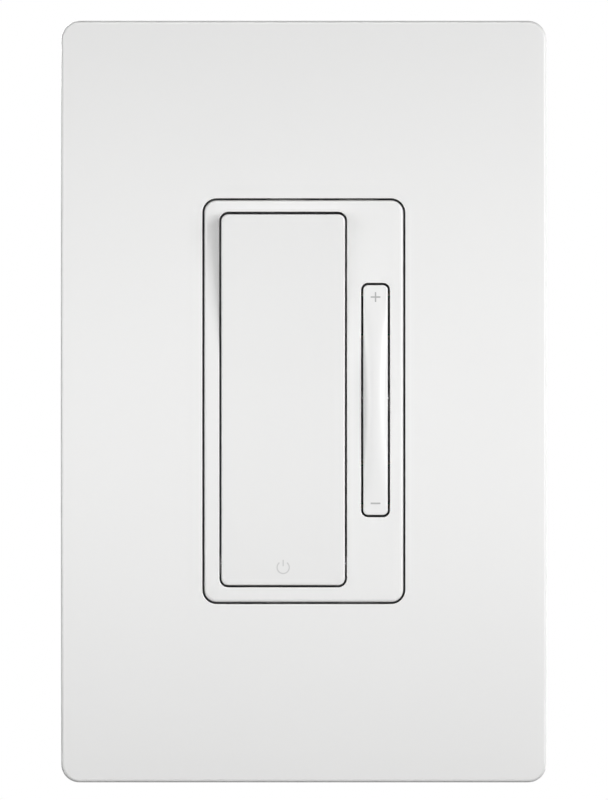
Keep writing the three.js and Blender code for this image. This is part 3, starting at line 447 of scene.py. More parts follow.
def fill(bm, outer, holes, depth, spacing, outer_box, hole_boxes, flip):
    """Triangles between an outer ring of vertices and the rings of its holes, on a curved face."""
    rings = [outer, *holes]
    points, owners, edges = [], [], []
    for ring in rings:
        first = len(points)
        for vert in ring:
            points.append(Vector((vert.co.x, vert.co.z)))
            owners.append(vert)
        for i in range(len(ring)):
            edges.append((first + i, first + (i + 1) % len(ring)))
    margin = spacing * 0.45
    x_count = int((outer_box.high_x - outer_box.low_x) / spacing)
    z_count = int((outer_box.high_z - outer_box.low_z) / spacing)
    for i in range(1, x_count + 1):
        for k in range(1, z_count + 1):
            x = outer_box.low_x + (outer_box.high_x - outer_box.low_x) * i / (x_count + 1)
            z = outer_box.low_z + (outer_box.high_z - outer_box.low_z) * k / (z_count + 1)
            near_hole = any(box.holds(x, z, -margin) for box in hole_boxes)
            if outer_box.holds(x, z, margin) and not near_hole:
                points.append(Vector((x, z)))
                owners.append(bm.verts.new((x, -depth(x, z), z)))
    made = geometry.delaunay_2d_cdt(points, edges, [], 1, 1e-9)
    new_of = [owners[origin[0]] for origin in made[3]]
    for face in made[2]:
        corners = [new_of[i] for i in face]
        x = sum(v.co.x for v in corners) / 3
        z = sum(v.co.z for v in corners) / 3
        if any(inside_loop(x, z, ring) for ring in holes):
            continue
        if flip:
            corners.reverse()
        bm.faces.new(corners)


def inside_loop(x, z, ring):
    crossings = 0
    for i, vert in enumerate(ring):
        a, b = vert.co, ring[i - 1].co
        if (a.z > z) != (b.z > z) and x < (b.x - a.x) * (z - a.z) / (b.z - a.z) + a.x:
            crossings += 1
    return crossings % 2 == 1


def finish_mesh(name, bm, materials, body, smooth=True):
    bmesh.ops.recalc_face_normals(bm, faces=bm.faces)
    mesh = bpy.data.meshes.new(name)
    bm.to_mesh(mesh)
    bm.free()
    for material in materials:
        mesh.materials.append(material)
    piece = bpy.data.objects.new(name, mesh)
    bpy.context.scene.collection.objects.link(piece)
    if smooth:
        for polygon in mesh.polygons:
            polygon.use_smooth = True
        weigh = piece.modifiers.new("weigh_normals", "WEIGHTED_NORMAL")
        weigh.weight = 100
        weigh.keep_sharp = True
    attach(piece, body)
    return piece


SMOOTH_ANGLE = math.radians(35)


def mark_sharp(bm):
    """Smooth faces with sharp edges where the surface turns, so that round things look round."""
    for face in bm.faces:
        face.smooth = True
    for edge in bm.edges:
        edge.smooth = len(edge.link_faces) == 2 and edge.calc_face_angle() < SMOOTH_ANGLE


def smoothing_group():
    """The same for a carried-over CAD node, whose own mesh is left alone."""
    tree = bpy.data.node_groups.new("smooth_by_angle", "GeometryNodeTree")
    for way in ("INPUT", "OUTPUT"):
        tree.interface.new_socket("Geometry", in_out=way, socket_type="NodeSocketGeometry")
    nodes, links = tree.nodes, tree.links
    start, end = nodes.new("NodeGroupInput"), nodes.new("NodeGroupOutput")
    weld = nodes.new("GeometryNodeMergeByDistance")
    weld.inputs["Distance"].default_value = 0.001 * MM
    faces = nodes.new("GeometryNodeSetShadeSmooth")
    edges = nodes.new("GeometryNodeSetShadeSmooth")
    edges.domain = "EDGE"
    edges.inputs["Shade Smooth"].default_value = False
    angle = nodes.new("GeometryNodeInputMeshEdgeAngle")
    sharp = nodes.new("FunctionNodeCompare")
    sharp.operation = "GREATER_THAN"
    sharp.inputs[1].default_value = SMOOTH_ANGLE
    links.new(angle.outputs[0], sharp.inputs[0])
    links.new(sharp.outputs[0], edges.inputs["Selection"])
    links.new(start.outputs[0], weld.inputs[0])
    links.new(weld.outputs[0], faces.inputs[0])
    links.new(faces.outputs[0], edges.inputs[0])
    links.new(edges.outputs[0], end.inputs[0])
    return tree


def edge_rings(bm, outline, front, edge, outward):
    """Rings that round a front edge, from the face to the side. outward is -1 for a hole."""
    rings = []
    for i in range(EDGE_STEPS, -1, -1):
        angle = math.pi / 2 * i / EDGE_STEPS
        inset = outward * edge * (1 - math.cos(angle))
        drop = edge * (1 - math.sin(angle))
        rings.append(add_loop(bm, outline.loop(inset), lambda x, z, d=drop: front(x, z) - d))
    for near, far in zip(rings, rings[1:]):
        wall(bm, near, far)
    return rings[0], rings[-1]


GAP_SHADE = 0.12 * MM  # how far down a gap's walls the white face goes, before the painted gap shade starts


def moulded(
    outline, front, edge, back, thick, side_wall, holes=(), spacing=2.0 * MM, gap_from=None
):
    """A moulded shell: a curved face with a rounded rim, side walls and holes.

    Each hole is (outline, edge, collar depth or None, collar wall). With no thick it is solid.
    Below gap_from(x, z) the side walls stand in a gap and take the second material, a near-black
    painted shade; so do a hole's walls below a thin white band.
    """
    bm = bmesh.new()
    lip = 0.15 * MM
    face_ring, side_ring = edge_rings(bm, outline, front, edge, 1)
    rim = add_loop(bm, outline.loop(0), lambda x, z: back + lip)
    foot = add_loop(bm, outline.loop(lip), lambda x, z: back)
    # below gap_from the side walls take the second material, the near-black painted gap shade
    if gap_from is not None:
        shade = add_loop(bm, outline.loop(0), lambda x, z: min(front(x, z) - edge, gap_from(x, z)))
        wall(bm, side_ring, shade)
        side_ring = shade
    wall(bm, side_ring, rim, 0 if gap_from is None else 1)
    wall(bm, rim, foot, 0 if gap_from is None else 1)
    hole_faces, hole_backs, hole_boxes, back_boxes = [], [], [], []
    for hole, hole_edge, collar_depth, collar_wall in holes:
        ring, inner = edge_rings(bm, hole, front, hole_edge, -1)
        hole_faces.append(ring)
        hole_boxes.append(hole.grown(hole_edge))
        # below this ring a hole's walls and its collar take the near-black painted gap shade
        shade = add_loop(bm, hole.loop(0), lambda x, z: front(x, z) - hole_edge - GAP_SHADE)
        wall(bm, inner, shade)
        inner = shade
        if collar_depth is None:
            end = add_loop(bm, hole.loop(0), lambda x, z: front(x, z) - thick)
            wall(bm, inner, end, 1)
            back_boxes.append(hole)
        else:
            low = add_loop(bm, hole.loop(0), lambda x, z: collar_depth)
            out = add_loop(bm, hole.loop(-collar_wall), lambda x, z: collar_depth)
            end = add_loop(bm, hole.loop(-collar_wall), lambda x, z: front(x, z) - thick)
            wall(bm, inner, low, 1)
            wall(bm, low, out, 1)
            wall(bm, out, end)
            back_boxes.append(hole.grown(collar_wall))
        hole_backs.append(end)
    fill(bm, face_ring, hole_faces, front, spacing, outline.grown(-edge), hole_boxes, False)
    if thick is None:
        fill(bm, foot, [], lambda x, z: back, spacing, outline.grown(-lip), [], True)
        return bm
    heel = add_loop(bm, outline.loop(side_wall), lambda x, z: back)
    ceiling = add_loop(bm, outline.loop(side_wall), lambda x, z: front(x, z) - thick)
    wall(bm, foot, heel)
    wall(bm, heel, ceiling)
    under = lambda x, z: front(x, z) - thick
    inner_box = outline.grown(-side_wall)
    fill(bm, ceiling, hole_backs, under, spacing, inner_box, back_boxes, True)
    return bm


# ---------------------------------------------------------------- front pieces

CROWN_SAG = 2.0 * MM
frame_low, frame_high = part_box("device_frame")
paddle_low, paddle_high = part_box("paddle")
bar_low, bar_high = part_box("dim_bar")
crown_height = -cover_low[1]
crown_radius = cover_high[2] ** 2 / (2 * CROWN_SAG)

HOOK_BARB = 0.8 * MM
frame_box = Outline(
    frame_low[0], frame_high[0], frame_low[2] + HOOK_BARB, frame_high[2] - HOOK_BARB, 2.05 * MM
)
FRAME_GAP = 0.3 * MM
PADDLE_GAP = 0.33 * MM
PADDLE_TOP_GAP = 0.48 * MM
BAR_GAP = 0.35 * MM
PADDLE_CORNER = 1.15 * MM
BAR_CORNER = 0.8 * MM
RAMP_START = 3.5 * MM
RAMP_POWER = 1.15
PADDLE_PROUD = 2.6 * MM
BAR_PROUD = 1.3 * MM
DISH_RADIUS = 0.6

paddle_box = Outline(paddle_low[0], paddle_high[0], paddle_low[2], paddle_high[2], PADDLE_CORNER)
bar_box = Outline(bar_low[0], bar_high[0], bar_low[2], bar_high[2], BAR_CORNER)
paddle_slot = Outline(
    paddle_low[0] - PADDLE_GAP,
    paddle_high[0] + PADDLE_GAP,
    paddle_low[2] - PADDLE_GAP,
    paddle_high[2] + PADDLE_TOP_GAP,
    PADDLE_CORNER + PADDLE_GAP,
)
bar_slot = bar_box.grown(BAR_GAP)


COVER_CORNER = 3.0 * MM
COVER_EDGE = 0.6 * MM
COVER_WALL = 2.0 * MM
COVER_SPACING = 3.2 * MM  # of the vertices on its face
OPENING_EDGE = 0.12 * MM
COLLAR_DEPTH = 3.9 * MM
COLLAR_WALL = 1.2 * MM
FRAME_EDGE = 0.55 * MM
FRAME_BACK = 1.9 * MM
FRAME_THICK = 1.9 * MM
FRAME_WALL = 1.5 * MM
FRAME_SPACING = 1.5 * MM
SLOT_EDGE = 0.15 * MM
PADDLE_EDGE = 0.3 * MM
PADDLE_BACK = 3.7 * MM
PADDLE_THICK = 1.8 * MM
PADDLE_SPACING = 1.2 * MM
SKIRT = 1.3 * MM
BAR_EDGE = 0.25 * MM
BAR_DEPTH = 2.5 * MM
BAR_SPACING = 0.4 * MM
UNSHADED_DEPTH = 0.8 * MM  # below the crown by this much, a side wall stands in a gap and takes the painted gap shade


def crown(x, z):
    return crown_height - z * z / (2 * crown_radius)


def below_face(x, z):
    return crown(x, z) - UNSHADED_DEPTH


def paddle_front(x, z):
    rise = max(0.0, z - RAMP_START) / (paddle_high[2] - RAMP_START)
    middle = (paddle_low[0] + paddle_high[0]) / 2
    half = (paddle_high[0] - paddle_low[0]) / 2
    dish = (half**2 - (x - middle) ** 2) / (2 * DISH_RADIUS)
    return crown(x, z) + PADDLE_PROUD * rise**RAMP_POWER - dish


def bar_front(x, z):
    middle_z = (bar_low[2] + bar_high[2]) / 2
    middle_x = (bar_low[0] + bar_high[0]) / 2
    along = min(1.0, abs(z - middle_z) / ((bar_high[2] - bar_low[2]) / 2))
    across = min(1.0, abs(x - middle_x) / ((bar_high[0] - bar_low[0]) / 2))
    swell = math.cos(along * math.pi / 2) ** 1.5
    return crown(x, z) + BAR_PROUD * swell * (1 - 0.75 * across**2.6)


def build_cover():
    outline = Outline(cover_low[0], cover_high[0], cover_low[2], cover_high[2], COVER_CORNER)
    opening = (frame_box.grown(FRAME_GAP), OPENING_EDGE, COLLAR_DEPTH, COLLAR_WALL)
    walls = (COVER_WALL, COVER_WALL)
    bm = moulded(outline, crown, COVER_EDGE, 0.0, *walls, [opening], COVER_SPACING)
    piece = finish_mesh("plate_cover", bm, FACE_LOOKS, "switch")
    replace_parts(piece, "wall_plate_cover")


def build_frame():
    holes = [(paddle_slot, SLOT_EDGE, None, 0), (bar_slot, SLOT_EDGE, None, 0)]
    sizes = (FRAME_EDGE, FRAME_BACK, FRAME_THICK, FRAME_WALL)
    bm = moulded(frame_box, crown, *sizes, holes, FRAME_SPACING, below_face)
    piece = finish_mesh("bezel", bm, FACE_LOOKS, "switch")
    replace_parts(piece, "device_frame")


def build_paddle():
    sizes = (PADDLE_EDGE, PADDLE_BACK, PADDLE_THICK, SKIRT)
    bm = moulded(paddle_box, paddle_front, *sizes, (), PADDLE_SPACING, below_face)
    # the paddle's white with painted shade, and the near-black painted shade for its walls in the
    # gap
    looks = [LOOKS["paddle_gloss"], LOOKS["painted_gap_shade"]]
    piece = finish_mesh("press_paddle", bm, looks, "paddle")
    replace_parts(piece, "paddle")


def build_bar():
    back = crown_height - BAR_DEPTH
    bm = moulded(bar_box, bar_front, BAR_EDGE, back, None, 0, (), BAR_SPACING, below_face)
    piece = finish_mesh("rocker_bar", bm, FACE_LOOKS, "dim_bar")
    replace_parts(piece, "dim_bar")


# ---------------------------------------------------------------- inner features of those pieces

LUG_STEPS = 32
LUG_HALF = 1.75 * MM
LUG_FRONT = 5.7 * MM
BORE_RADIUS = 0.9 * MM
BEARING_REACH = 0.2 * MM  # of the bezel's lugs into the gap, which covers the pin
HOOK_PLACES = (-3 * MM, 9 * MM)
HOOK_HALF = 2.5 * MM
HOOK_END = 1.5 * MM
SOFT_EDGE = 0.12 * MM


def add_block(bm, low, high, edge=SOFT_EDGE):
    """A closed box with small bevelled edges, as its own shell."""
    made = bmesh.ops.create_cube(bm, size=1.0)
    low, high = Vector(low), Vector(high)
    for vert in made["verts"]:
        vert.co = Vector(
            (low[i] + high[i]) / 2 + vert.co[i] * (high[i] - low[i]) for i in range(3)
        )
    edges = list({e for v in made["verts"] for e in v.link_edges})
    bmesh.ops.bevel(bm, geom=edges, offset=edge, segments=2, affect="EDGES", profile=0.5)


def add_prism(bm, corners, low_x, high_x):
    """A closed prism along X over (y, z) corners, as its own shell."""
    near = [bm.verts.new((low_x, y, z)) for y, z in corners]
    far = [bm.verts.new((high_x, y, z)) for y, z in corners]
    bm.faces.new(near)
    bm.faces.new(far)
    wall(bm, near, far)


def add_post(bm, x, z, radius, front, back):
    """A closed round post along Y with a domed tip, as its own shell."""
    rings = [(front, radius), (back - 0.5 * MM, radius * 0.94)]
    for i in range(1, 6):
        angle = math.pi / 2 * i / 6
        rings.append(
            (back - 0.5 * MM * (1 - math.sin(angle)), radius * (0.94 - 0.5 * (1 - math.cos(angle))))
        )
    loops = []
    for y, r in rings:
        angles = [2 * math.pi * i / LUG_STEPS for i in range(LUG_STEPS)]
        loops.append([bm.verts.new((x + r * math.cos(t), y, z + r * math.sin(t))) for t in angles])
    for near, far in zip(loops, loops[1:]):
        wall(bm, near, far)
    bm.faces.new(loops[0])
    bm.faces.new(loops[-1])


def add_lug(bm, low_x, high_x, z, depth):
    """A bearing lug along X: a block with a bore for the pivot pin."""
    sides = []
    for x in (low_x, high_x):
        round_ring, square_ring = [], []
        for i in range(LUG_STEPS):
            angle = 2 * math.pi * (i + 0.5) / LUG_STEPS
            c, s = math.cos(angle), math.sin(angle)
            front = LUG_FRONT - depth if c < 0 else LUG_HALF
            reach = min(front / max(abs(c), 1e-6), LUG_HALF / max(abs(s), 1e-6))
            round_ring.append(bm.verts.new((x, -depth + BORE_RADIUS * c, z + BORE_RADIUS * s)))
            square_ring.append(bm.verts.new((x, -depth + reach * c, z + reach * s)))
        wall(bm, round_ring, square_ring)
        sides.append((round_ring, square_ring))
    wall(bm, sides[0][0], sides[1][0])
    wall(bm, sides[0][1], sides[1][1])


def side_span(side, near, far):
    return sorted((side * near, side * far))


def inner_piece(name, bm, body):
    return finish_mesh(name, bm, [LOOKS["white_inner"]], body, smooth=False)


PADDLE_PIVOT = (3.9 * MM, paddle_low[2] + 3.2 * MM)  # depth and height
BAR_PIVOT = (4.45 * MM, (bar_low[2] + bar_high[2]) / 2)
PADDLE_TACT_Z = PADDLE_PIVOT[1] + 15 * MM
BAR_TACT_LEVER = 14 * MM
plunger_front = -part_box("paddle_tact_plunger")[0][1]
PUSHER_BACK = plunger_front + 0.05 * MM
CATCH_PLACES = (-40 * MM, 0.0, 40 * MM)
CATCH_HALF = 4.5 * MM
RIB_PLACES = (-8 * MM, 2 * MM, 14 * MM, 24 * MM)
RIB_HALF = 0.5 * MM
RIB_BACK = 4.1 * MM
FRONT_SKIN = 0.9 * MM  # how far behind the front face a rib or a post starts
PADDLE_POST = 2.2 * MM  # radius
BAR_POST = 1.8 * MM
HOOK_ROOT = 2.4 * MM  # depth of the hooks' front end


def build_cover_catches():
    bm = bmesh.new()
    wall_x = cover_high[0] - COVER_WALL
    for z in CATCH_PLACES:
        for side in (-1, 1):
            ends = sorted((side * (wall_x + 0.2 * MM), side * (wall_x - 0.8 * MM)))
            low = (ends[0], -1.0 * MM, z - CATCH_HALF)
            add_block(bm, low, (ends[1], -0.3 * MM, z + CATCH_HALF), 0.1 * MM)
    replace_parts(inner_piece("cover_catches", bm, "switch"), "wall_plate_cover")


def build_frame_inner():
    bm = bmesh.new()
    for x in HOOK_PLACES:
        for side, outer in ((1, frame_box.high_z), (-1, frame_box.low_z)):
            inner = outer - side * FRAME_WALL
            tip = outer + side * HOOK_BARB
            profile = [
                (-HOOK_ROOT, outer - side * 0.01 * MM),
                (0.3 * MM, outer - side * 0.01 * MM),
                (0.3 * MM, tip),
                (0.55 * MM, tip),
                (HOOK_END, outer - side * 0.3 * MM),
                (HOOK_END, inner + side * 0.2 * MM),
                (-HOOK_ROOT, inner + side * 0.01 * MM),
            ]
            add_prism(bm, profile, x - HOOK_HALF, x + HOOK_HALF)
            for end in (-1, 1):  # a root flange, which closes the slot's end from the front
                x0, x1 = side_span(end, HOOK_HALF - 0.1 * MM, HOOK_HALF + 0.7 * MM)
                z0, z1 = side_span(side, side * outer - 0.1 * MM, side * outer + 0.4 * MM)
                add_block(bm, (x + x0, -HOOK_ROOT, z0), (x + x1, -1.7 * MM, z1), 0.05 * MM)
    wall_x = frame_high[0] - FRAME_WALL + 0.1 * MM
    depth, z = PADDLE_PIVOT
    near = BEARING_REACH
    add_lug(bm, -wall_x, paddle_slot.low_x + near, z, depth)
    add_lug(bm, paddle_slot.high_x - near, paddle_slot.high_x + 1.0 * MM, z, depth)
    depth, z = BAR_PIVOT
    add_lug(bm, bar_slot.low_x - 1.0 * MM, bar_slot.low_x + near, z, depth)
    add_lug(bm, bar_slot.high_x - near, wall_x, z, depth)
    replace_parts(inner_piece("bezel_hooks_and_bearings", bm, "switch"), "device_frame")


def build_paddle_inner():
    bm = bmesh.new()
    left, right = paddle_low[0], paddle_high[0]
    depth, z = PADDLE_PIVOT
    add_lug(bm, left + 0.01 * MM, left + SKIRT, z, depth)
    add_lug(bm, right - SKIRT, right - 0.01 * MM, z, depth)
    middle = (left + right) / 2
    front = -paddle_front(middle, PADDLE_TACT_Z) + FRONT_SKIN
    add_post(bm, middle, PADDLE_TACT_Z, PADDLE_POST, front, -PUSHER_BACK)
    for z in RIB_PLACES:
        front = -paddle_front(middle, z) + FRONT_SKIN
        low = (left + 0.5 * MM, front, z - RIB_HALF)
        add_block(bm, low, (right - 0.5 * MM, -RIB_BACK, z + RIB_HALF), 0.08 * MM)
    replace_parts(inner_piece("paddle_ribs_and_lugs", bm, "paddle"), "paddle")


def build_bar_inner():
    bm = bmesh.new()
    depth, z = BAR_PIVOT
    back = crown_height - BAR_DEPTH
    add_lug(bm, bar_low[0], bar_high[0], z, depth)
    middle = (bar_low[0] + bar_high[0]) / 2
    for side in (-1, 1):
        tact_z = z + side * BAR_TACT_LEVER
        add_post(bm, middle, tact_z, BAR_POST, -back - 0.5 * MM, -PUSHER_BACK)
    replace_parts(inner_piece("rocker_bar_hub", bm, "dim_bar"), "dim_bar")


# ---------------------------------------------------------------- housing and screws

HOUSING_EDGE = 0.9 * MM
HOUSING_WALL = 1.8 * MM
PILLAR_RADIUS = 2.75 * MM
HEAD_ROOM = 2.75 * MM  # radius of the recess round a housing screw's head
HEAD_RECESS = 2.4 * MM
HOUSING_BORE = 1.55 * MM
POCKET_HALF = 5.0 * MM
POCKET_DEPTH = 5.5 * MM
POCKET_AT = (14 * MM, 17 * MM)  # y, and z above and below the middle
LINER = 1.2 * MM
SEAM_AT = 26.5 * MM
SEAM_WIDTH = 0.3 * MM
SEAM_DEPTH = 0.25 * MM
HOUSING_CORNER = 2.5 * MM
HOLLOW_CORNER = 1.5 * MM
PILLAR_SHIFT = 0.02 * MM  # inwards, so that the pillars' sides don't lie in the housing's faces
PAST_FACE = 1 * MM  # how far a cutter stands out of the face that it cuts
SHORT_OF_FACE = 0.4 * MM  # how far an added solid stays under the outside
BOARD_LEDGE = (4.2 * MM, 3 * MM)  # its front, and half its length
LEDGE_REACH = 2 * MM
LEDGE_SUNK = 0.3 * MM  # into the wall
POST_X = (10 * MM, 14 * MM)
POST_FRONT = 26.7 * MM
POST_HALF = 2 * MM
WIRE_HOLE = 1.15 * MM  # radius
WIRE_HOLE_X = 16.6 * MM
WIRE_HOLE_SHIFTS = (-2.6 * MM, 2.6 * MM)  # up and down from the terminal's middle
WIRE_HOLE_DEPTH = 3 * MM
WIRE_HOLE_STEPS = 24
COUNTERSINK = (1.5, 0.4 * MM)  # widening and depth
PANEL_HALF = (11.5 * MM, 21 * MM)
PANEL_CORNER = 1.2 * MM
PANEL_DEPTH = 0.35 * MM
VENT_DEPTH = 0.45 * MM
VENT_HALF = 0.5 * MM
VENT_SPAN = (8 * MM, 24 * MM)
VENT_EDGE = 0.05 * MM
SIDE_VENTS = (7, 2.6)  # number, and pitch in mm
END_VENTS = (9, 3.2)
BOX_SCREW_HEAD = 1.8 * MM
HEAD_RIM = 0.5 * MM  # the straight part of the head's edge
HEAD_DOME = 1.3 * MM
HEAD_DOME_STEPS = 7
HEAD_FLATNESS = 0.45  # power of the cosine: lower is flatter
HEAD_STEPS = 48
DRIVE_SLOT = (5 * MM, 0.45 * MM, 0.7 * MM)  # half length, half width and depth
SHANK_RADIUS = 1.7 * MM
SHANK_SUNK = 0.2 * MM  # into the head
TIP_SCALE = 0.72
THREAD_PITCH = 0.794 * MM
THREAD_DEPTH = 0.42 * MM
THREAD_STEPS = 24  # round the screw
PITCH_STEPS = 8  # along one turn


def add_rod(bm, x, z, radius, front, back, steps=LUG_STEPS):
    angles = [2 * math.pi * i / steps for i in range(steps)]
    rings = [
        [bm.verts.new((x + radius * math.cos(t), y, z + radius * math.sin(t))) for t in angles]
        for y in (front, back)
    ]
    wall(bm, *rings)
    bm.faces.new(rings[0])
    bm.faces.new(rings[1])


def add_slab(bm, outline, front, back):
    rings = [add_loop(bm, outline.loop(), lambda x, z, y=y: -y) for y in (front, back)]
    wall(bm, *rings)
    bm.faces.new(rings[0])
    bm.faces.new(rings[1])


def carved(base, steps):
    """One closed mesh from a base and a list of (Boolean operation, mesh)."""
    things = []
    for bm in [base] + [step[1] for step in steps]:
        bmesh.ops.recalc_face_normals(bm, faces=bm.faces)
        mesh = bpy.data.meshes.new("carving")
        bm.to_mesh(mesh)
        bm.free()
        thing = bpy.data.objects.new("carving", mesh)
        bpy.context.scene.collection.objects.link(thing)
        things.append(thing)
    for (operation, _), thing in zip(steps, things[1:]):
        modifier = things[0].modifiers.new("carve", "BOOLEAN")
        modifier.operation, modifier.solver, modifier.object = operation, "EXACT", thing
    graph = bpy.context.evaluated_depsgraph_get()
    result = bpy.data.meshes.new_from_object(things[0].evaluated_get(graph))
    for thing in things:
        old = thing.data
        bpy.data.objects.remove(thing)
        bpy.data.meshes.remove(old)
    bm = bmesh.new()
    bm.from_mesh(result)
    bpy.data.meshes.remove(result)
    return bm


def add_wire_holes(bm, side, z, radius, front, back, steps):
    """The two holes by a terminal, open at the back face."""
    for shift in WIRE_HOLE_SHIFTS:
        add_rod(bm, side * WIRE_HOLE_X, z + shift, radius, front, back + PAST_FACE, steps)


def add_vents(bm, high):
    """Slots on the housing's two sides, and on its top and bottom."""
    front, back = VENT_SPAN
    for side in (-1, 1):
        count, pitch = SIDE_VENTS
        for i in range(count):
            z = (i - (count - 1) // 2) * pitch * MM
            x0, x1 = side_span(side, high[0] - VENT_DEPTH, high[0] + PAST_FACE)
            add_block(bm, (x0, front, z - VENT_HALF), (x1, back, z + VENT_HALF), VENT_EDGE)
        count, pitch = END_VENTS
        for i in range(count):
            x = (i - (count - 1) // 2) * pitch * MM
            z0, z1 = side_span(side, high[2] - VENT_DEPTH, high[2] + PAST_FACE)
            add_block(bm, (x - VENT_HALF, front, z0), (x + VENT_HALF, back, z1), VENT_EDGE)


def build_housing():
    low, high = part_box("back_housing")
    depth = high[1]
    outline = Outline(low[0], high[0], low[2], high[2], HOUSING_CORNER)
    tub = bmesh.new()
    rings = [add_loop(tub, outline.loop(), lambda x, z: 0.0)]
    for i in range(EDGE_STEPS + 1):
        angle = math.pi / 2 * i / EDGE_STEPS
        inset = HOUSING_EDGE * (1 - math.cos(angle))
        y = depth - HOUSING_EDGE * (1 - math.sin(angle))
        rings.append(add_loop(tub, outline.loop(inset), lambda x, z, y=y: -y))
    for near, far in zip(rings, rings[1:]):
        wall(tub, near, far)
    tub.faces.new(rings[0])
    tub.faces.new(rings[-1])

    hollow = bmesh.new()
    inner = outline.grown(-HOUSING_WALL)
    inner.corner = HOLLOW_CORNER
    add_slab(hollow, inner, -PAST_FACE, depth - HOUSING_WALL)

    corners = [
        (sx * (high[0] - PILLAR_RADIUS), sz * (high[2] - PILLAR_RADIUS))
        for sx in (-1, 1)
        for sz in (-1, 1)
    ]
    terminals = [(sx, sz * POCKET_AT[1]) for sx in (-1, 1) for sz in (-1, 1)]
    floor_x = high[0] - POCKET_DEPTH
    solids = bmesh.new()
    for x, z in corners:
        in_x = x - math.copysign(PILLAR_SHIFT, x)
        in_z = z - math.copysign(PILLAR_SHIFT, z)
        add_rod(solids, in_x, in_z, PILLAR_RADIUS, 0.0, depth - SHORT_OF_FACE)
    half = POCKET_HALF + LINER
    for side, z in terminals:
        x0, x1 = side_span(side, floor_x - LINER, high[0] - SHORT_OF_FACE)
        add_block(solids, (x0, POCKET_AT[0] - half, z - half), (x1, POCKET_AT[0] + half, z + half))
    for side in (-1, 1):
        x0, x1 = side_span(side, inner.high_x - LEDGE_REACH, inner.high_x + LEDGE_SUNK)
        ledge_front, ledge_half = BOARD_LEDGE
        add_block(solids, (x0, ledge_front, -ledge_half), (x1, POCKET_AT[0], ledge_half))
        x0, x1 = side_span(side, *POST_X)
        add_block(solids, (x0, POST_FRONT, -POST_HALF), (x1, depth - 0.5 * MM, POST_HALF))

    cuts = bmesh.new()
    for x, z in corners:
        add_rod(cuts, x, z, HEAD_ROOM, depth - HEAD_RECESS, depth + PAST_FACE)
        add_rod(cuts, x, z, HOUSING_BORE, -PAST_FACE, depth - HEAD_RECESS - 0.001 * MM)
    for side, z in terminals:
        x0, x1 = side_span(side, floor_x, high[0] + PAST_FACE)
        half = POCKET_HALF
        add_block(cuts, (x0, POCKET_AT[0] - half, z - half), (x1, POCKET_AT[0] + half, z + half))
        add_wire_holes(cuts, side, z, WIRE_HOLE, depth - WIRE_HOLE_DEPTH, depth, WIRE_HOLE_STEPS)
    half_x, half_z = PANEL_HALF
    panel = Outline(-half_x, half_x, -half_z, half_z, PANEL_CORNER)
    details = bmesh.new()
    widening, sink = COUNTERSINK
    for side, z in terminals:
        add_wire_holes(details, side, z, widening * WIRE_HOLE, depth - sink, depth, LUG_STEPS)
    add_slab(details, panel, depth - PANEL_DEPTH, depth + PAST_FACE)
    add_vents(details, high)
    seam = bmesh.new()
    loops = []
    seam_end = SEAM_AT + SEAM_WIDTH
    for y, inset in (
        (SEAM_AT, -PAST_FACE),
        (SEAM_AT, SEAM_DEPTH),
        (seam_end, SEAM_DEPTH),
        (seam_end, -PAST_FACE),
    ):
        loops.append(add_loop(seam, outline.loop(inset), lambda x, z, y=y: -y))
    for near, far in zip(loops, loops[1:] + loops[:1]):
        wall(seam, near, far)
    steps = [("DIFFERENCE", hollow), ("UNION", solids)]
    steps += [("DIFFERENCE", cutter) for cutter in (cuts, details, seam)]
    bm = carved(tub, steps)
    mark_sharp(bm)
    looks = [LOOKS["black_plastic"]]
    piece = finish_mesh("housing_shell", bm, looks, "switch", False)
    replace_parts(piece, "back_housing")


def build_box_screw(node, name):
    """A 6-32 screw: slotted pan head and a real helical thread."""
    low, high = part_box(node)
    x, z = (low[0] + high[0]) / 2, (low[2] + high[2]) / 2
    radius, seat, tip = (high[0] - low[0]) / 2, low[1] + BOX_SCREW_HEAD, high[1]
    head = bmesh.new()
    profile = [(seat, radius), (seat - HEAD_RIM, radius)]
    for i in range(1, HEAD_DOME_STEPS):
        angle = math.pi / 2 * i / HEAD_DOME_STEPS
        y = seat - HEAD_RIM - HEAD_DOME * math.sin(angle)
        profile.append((y, radius * math.cos(angle) ** HEAD_FLATNESS))
    profile = [(max(y, low[1]), r) for y, r in profile]
    loops = []
    for y, r in profile:
        angles = [2 * math.pi * i / HEAD_STEPS for i in range(HEAD_STEPS)]
        loops.append(
            [head.verts.new((x + r * math.cos(t), y, z + r * math.sin(t))) for t in angles]
        )
    for near, far in zip(loops, loops[1:]):
        wall(head, near, far)
    head.faces.new(loops[0])
    head.faces.new(loops[-1])
    slot = bmesh.new()
    half_long, half_wide, cut = DRIVE_SLOT
    slot_low = (x - half_long, low[1] - PAST_FACE, z - half_wide)
    add_block(slot, slot_low, (x + half_long, low[1] + cut, z + half_wide), 0.02 * MM)
    bm = carved(head, [("DIFFERENCE", slot)])
    start = seat - SHANK_SUNK
    count = int((tip - start) / THREAD_PITCH * PITCH_STEPS)
    rings = []
    for k in range(count + 1):
        y = start + (tip - start) * k / count
        taper = min(1.0, TIP_SCALE + (tip - y) / (4 * THREAD_PITCH))
        ring = []
        for i in range(THREAD_STEPS):
            angle = 2 * math.pi * i / THREAD_STEPS
            phase = ((y - start) / THREAD_PITCH - i / THREAD_STEPS) % 1.0
            r = (SHANK_RADIUS - THREAD_DEPTH * abs(2 * phase - 1)) * taper
            ring.append(bm.verts.new((x + r * math.cos(angle), y, z + r * math.sin(angle))))
        rings.append(ring)
    for near, far in zip(rings, rings[1:]):
        wall(bm, near, far)
    bm.faces.new(rings[0])
    bm.faces.new(rings[-1])
    mark_sharp(bm)
    piece = finish_mesh(name, bm, [LOOKS["zinc"]], "switch", False)
    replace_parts(piece, node)


def build_screws():
    build_box_screw("box_screw_top", "threaded_screw_top")
    build_box_screw("box_screw_bottom", "threaded_screw_bottom")


# ---------------------------------------------------------------- printed marks

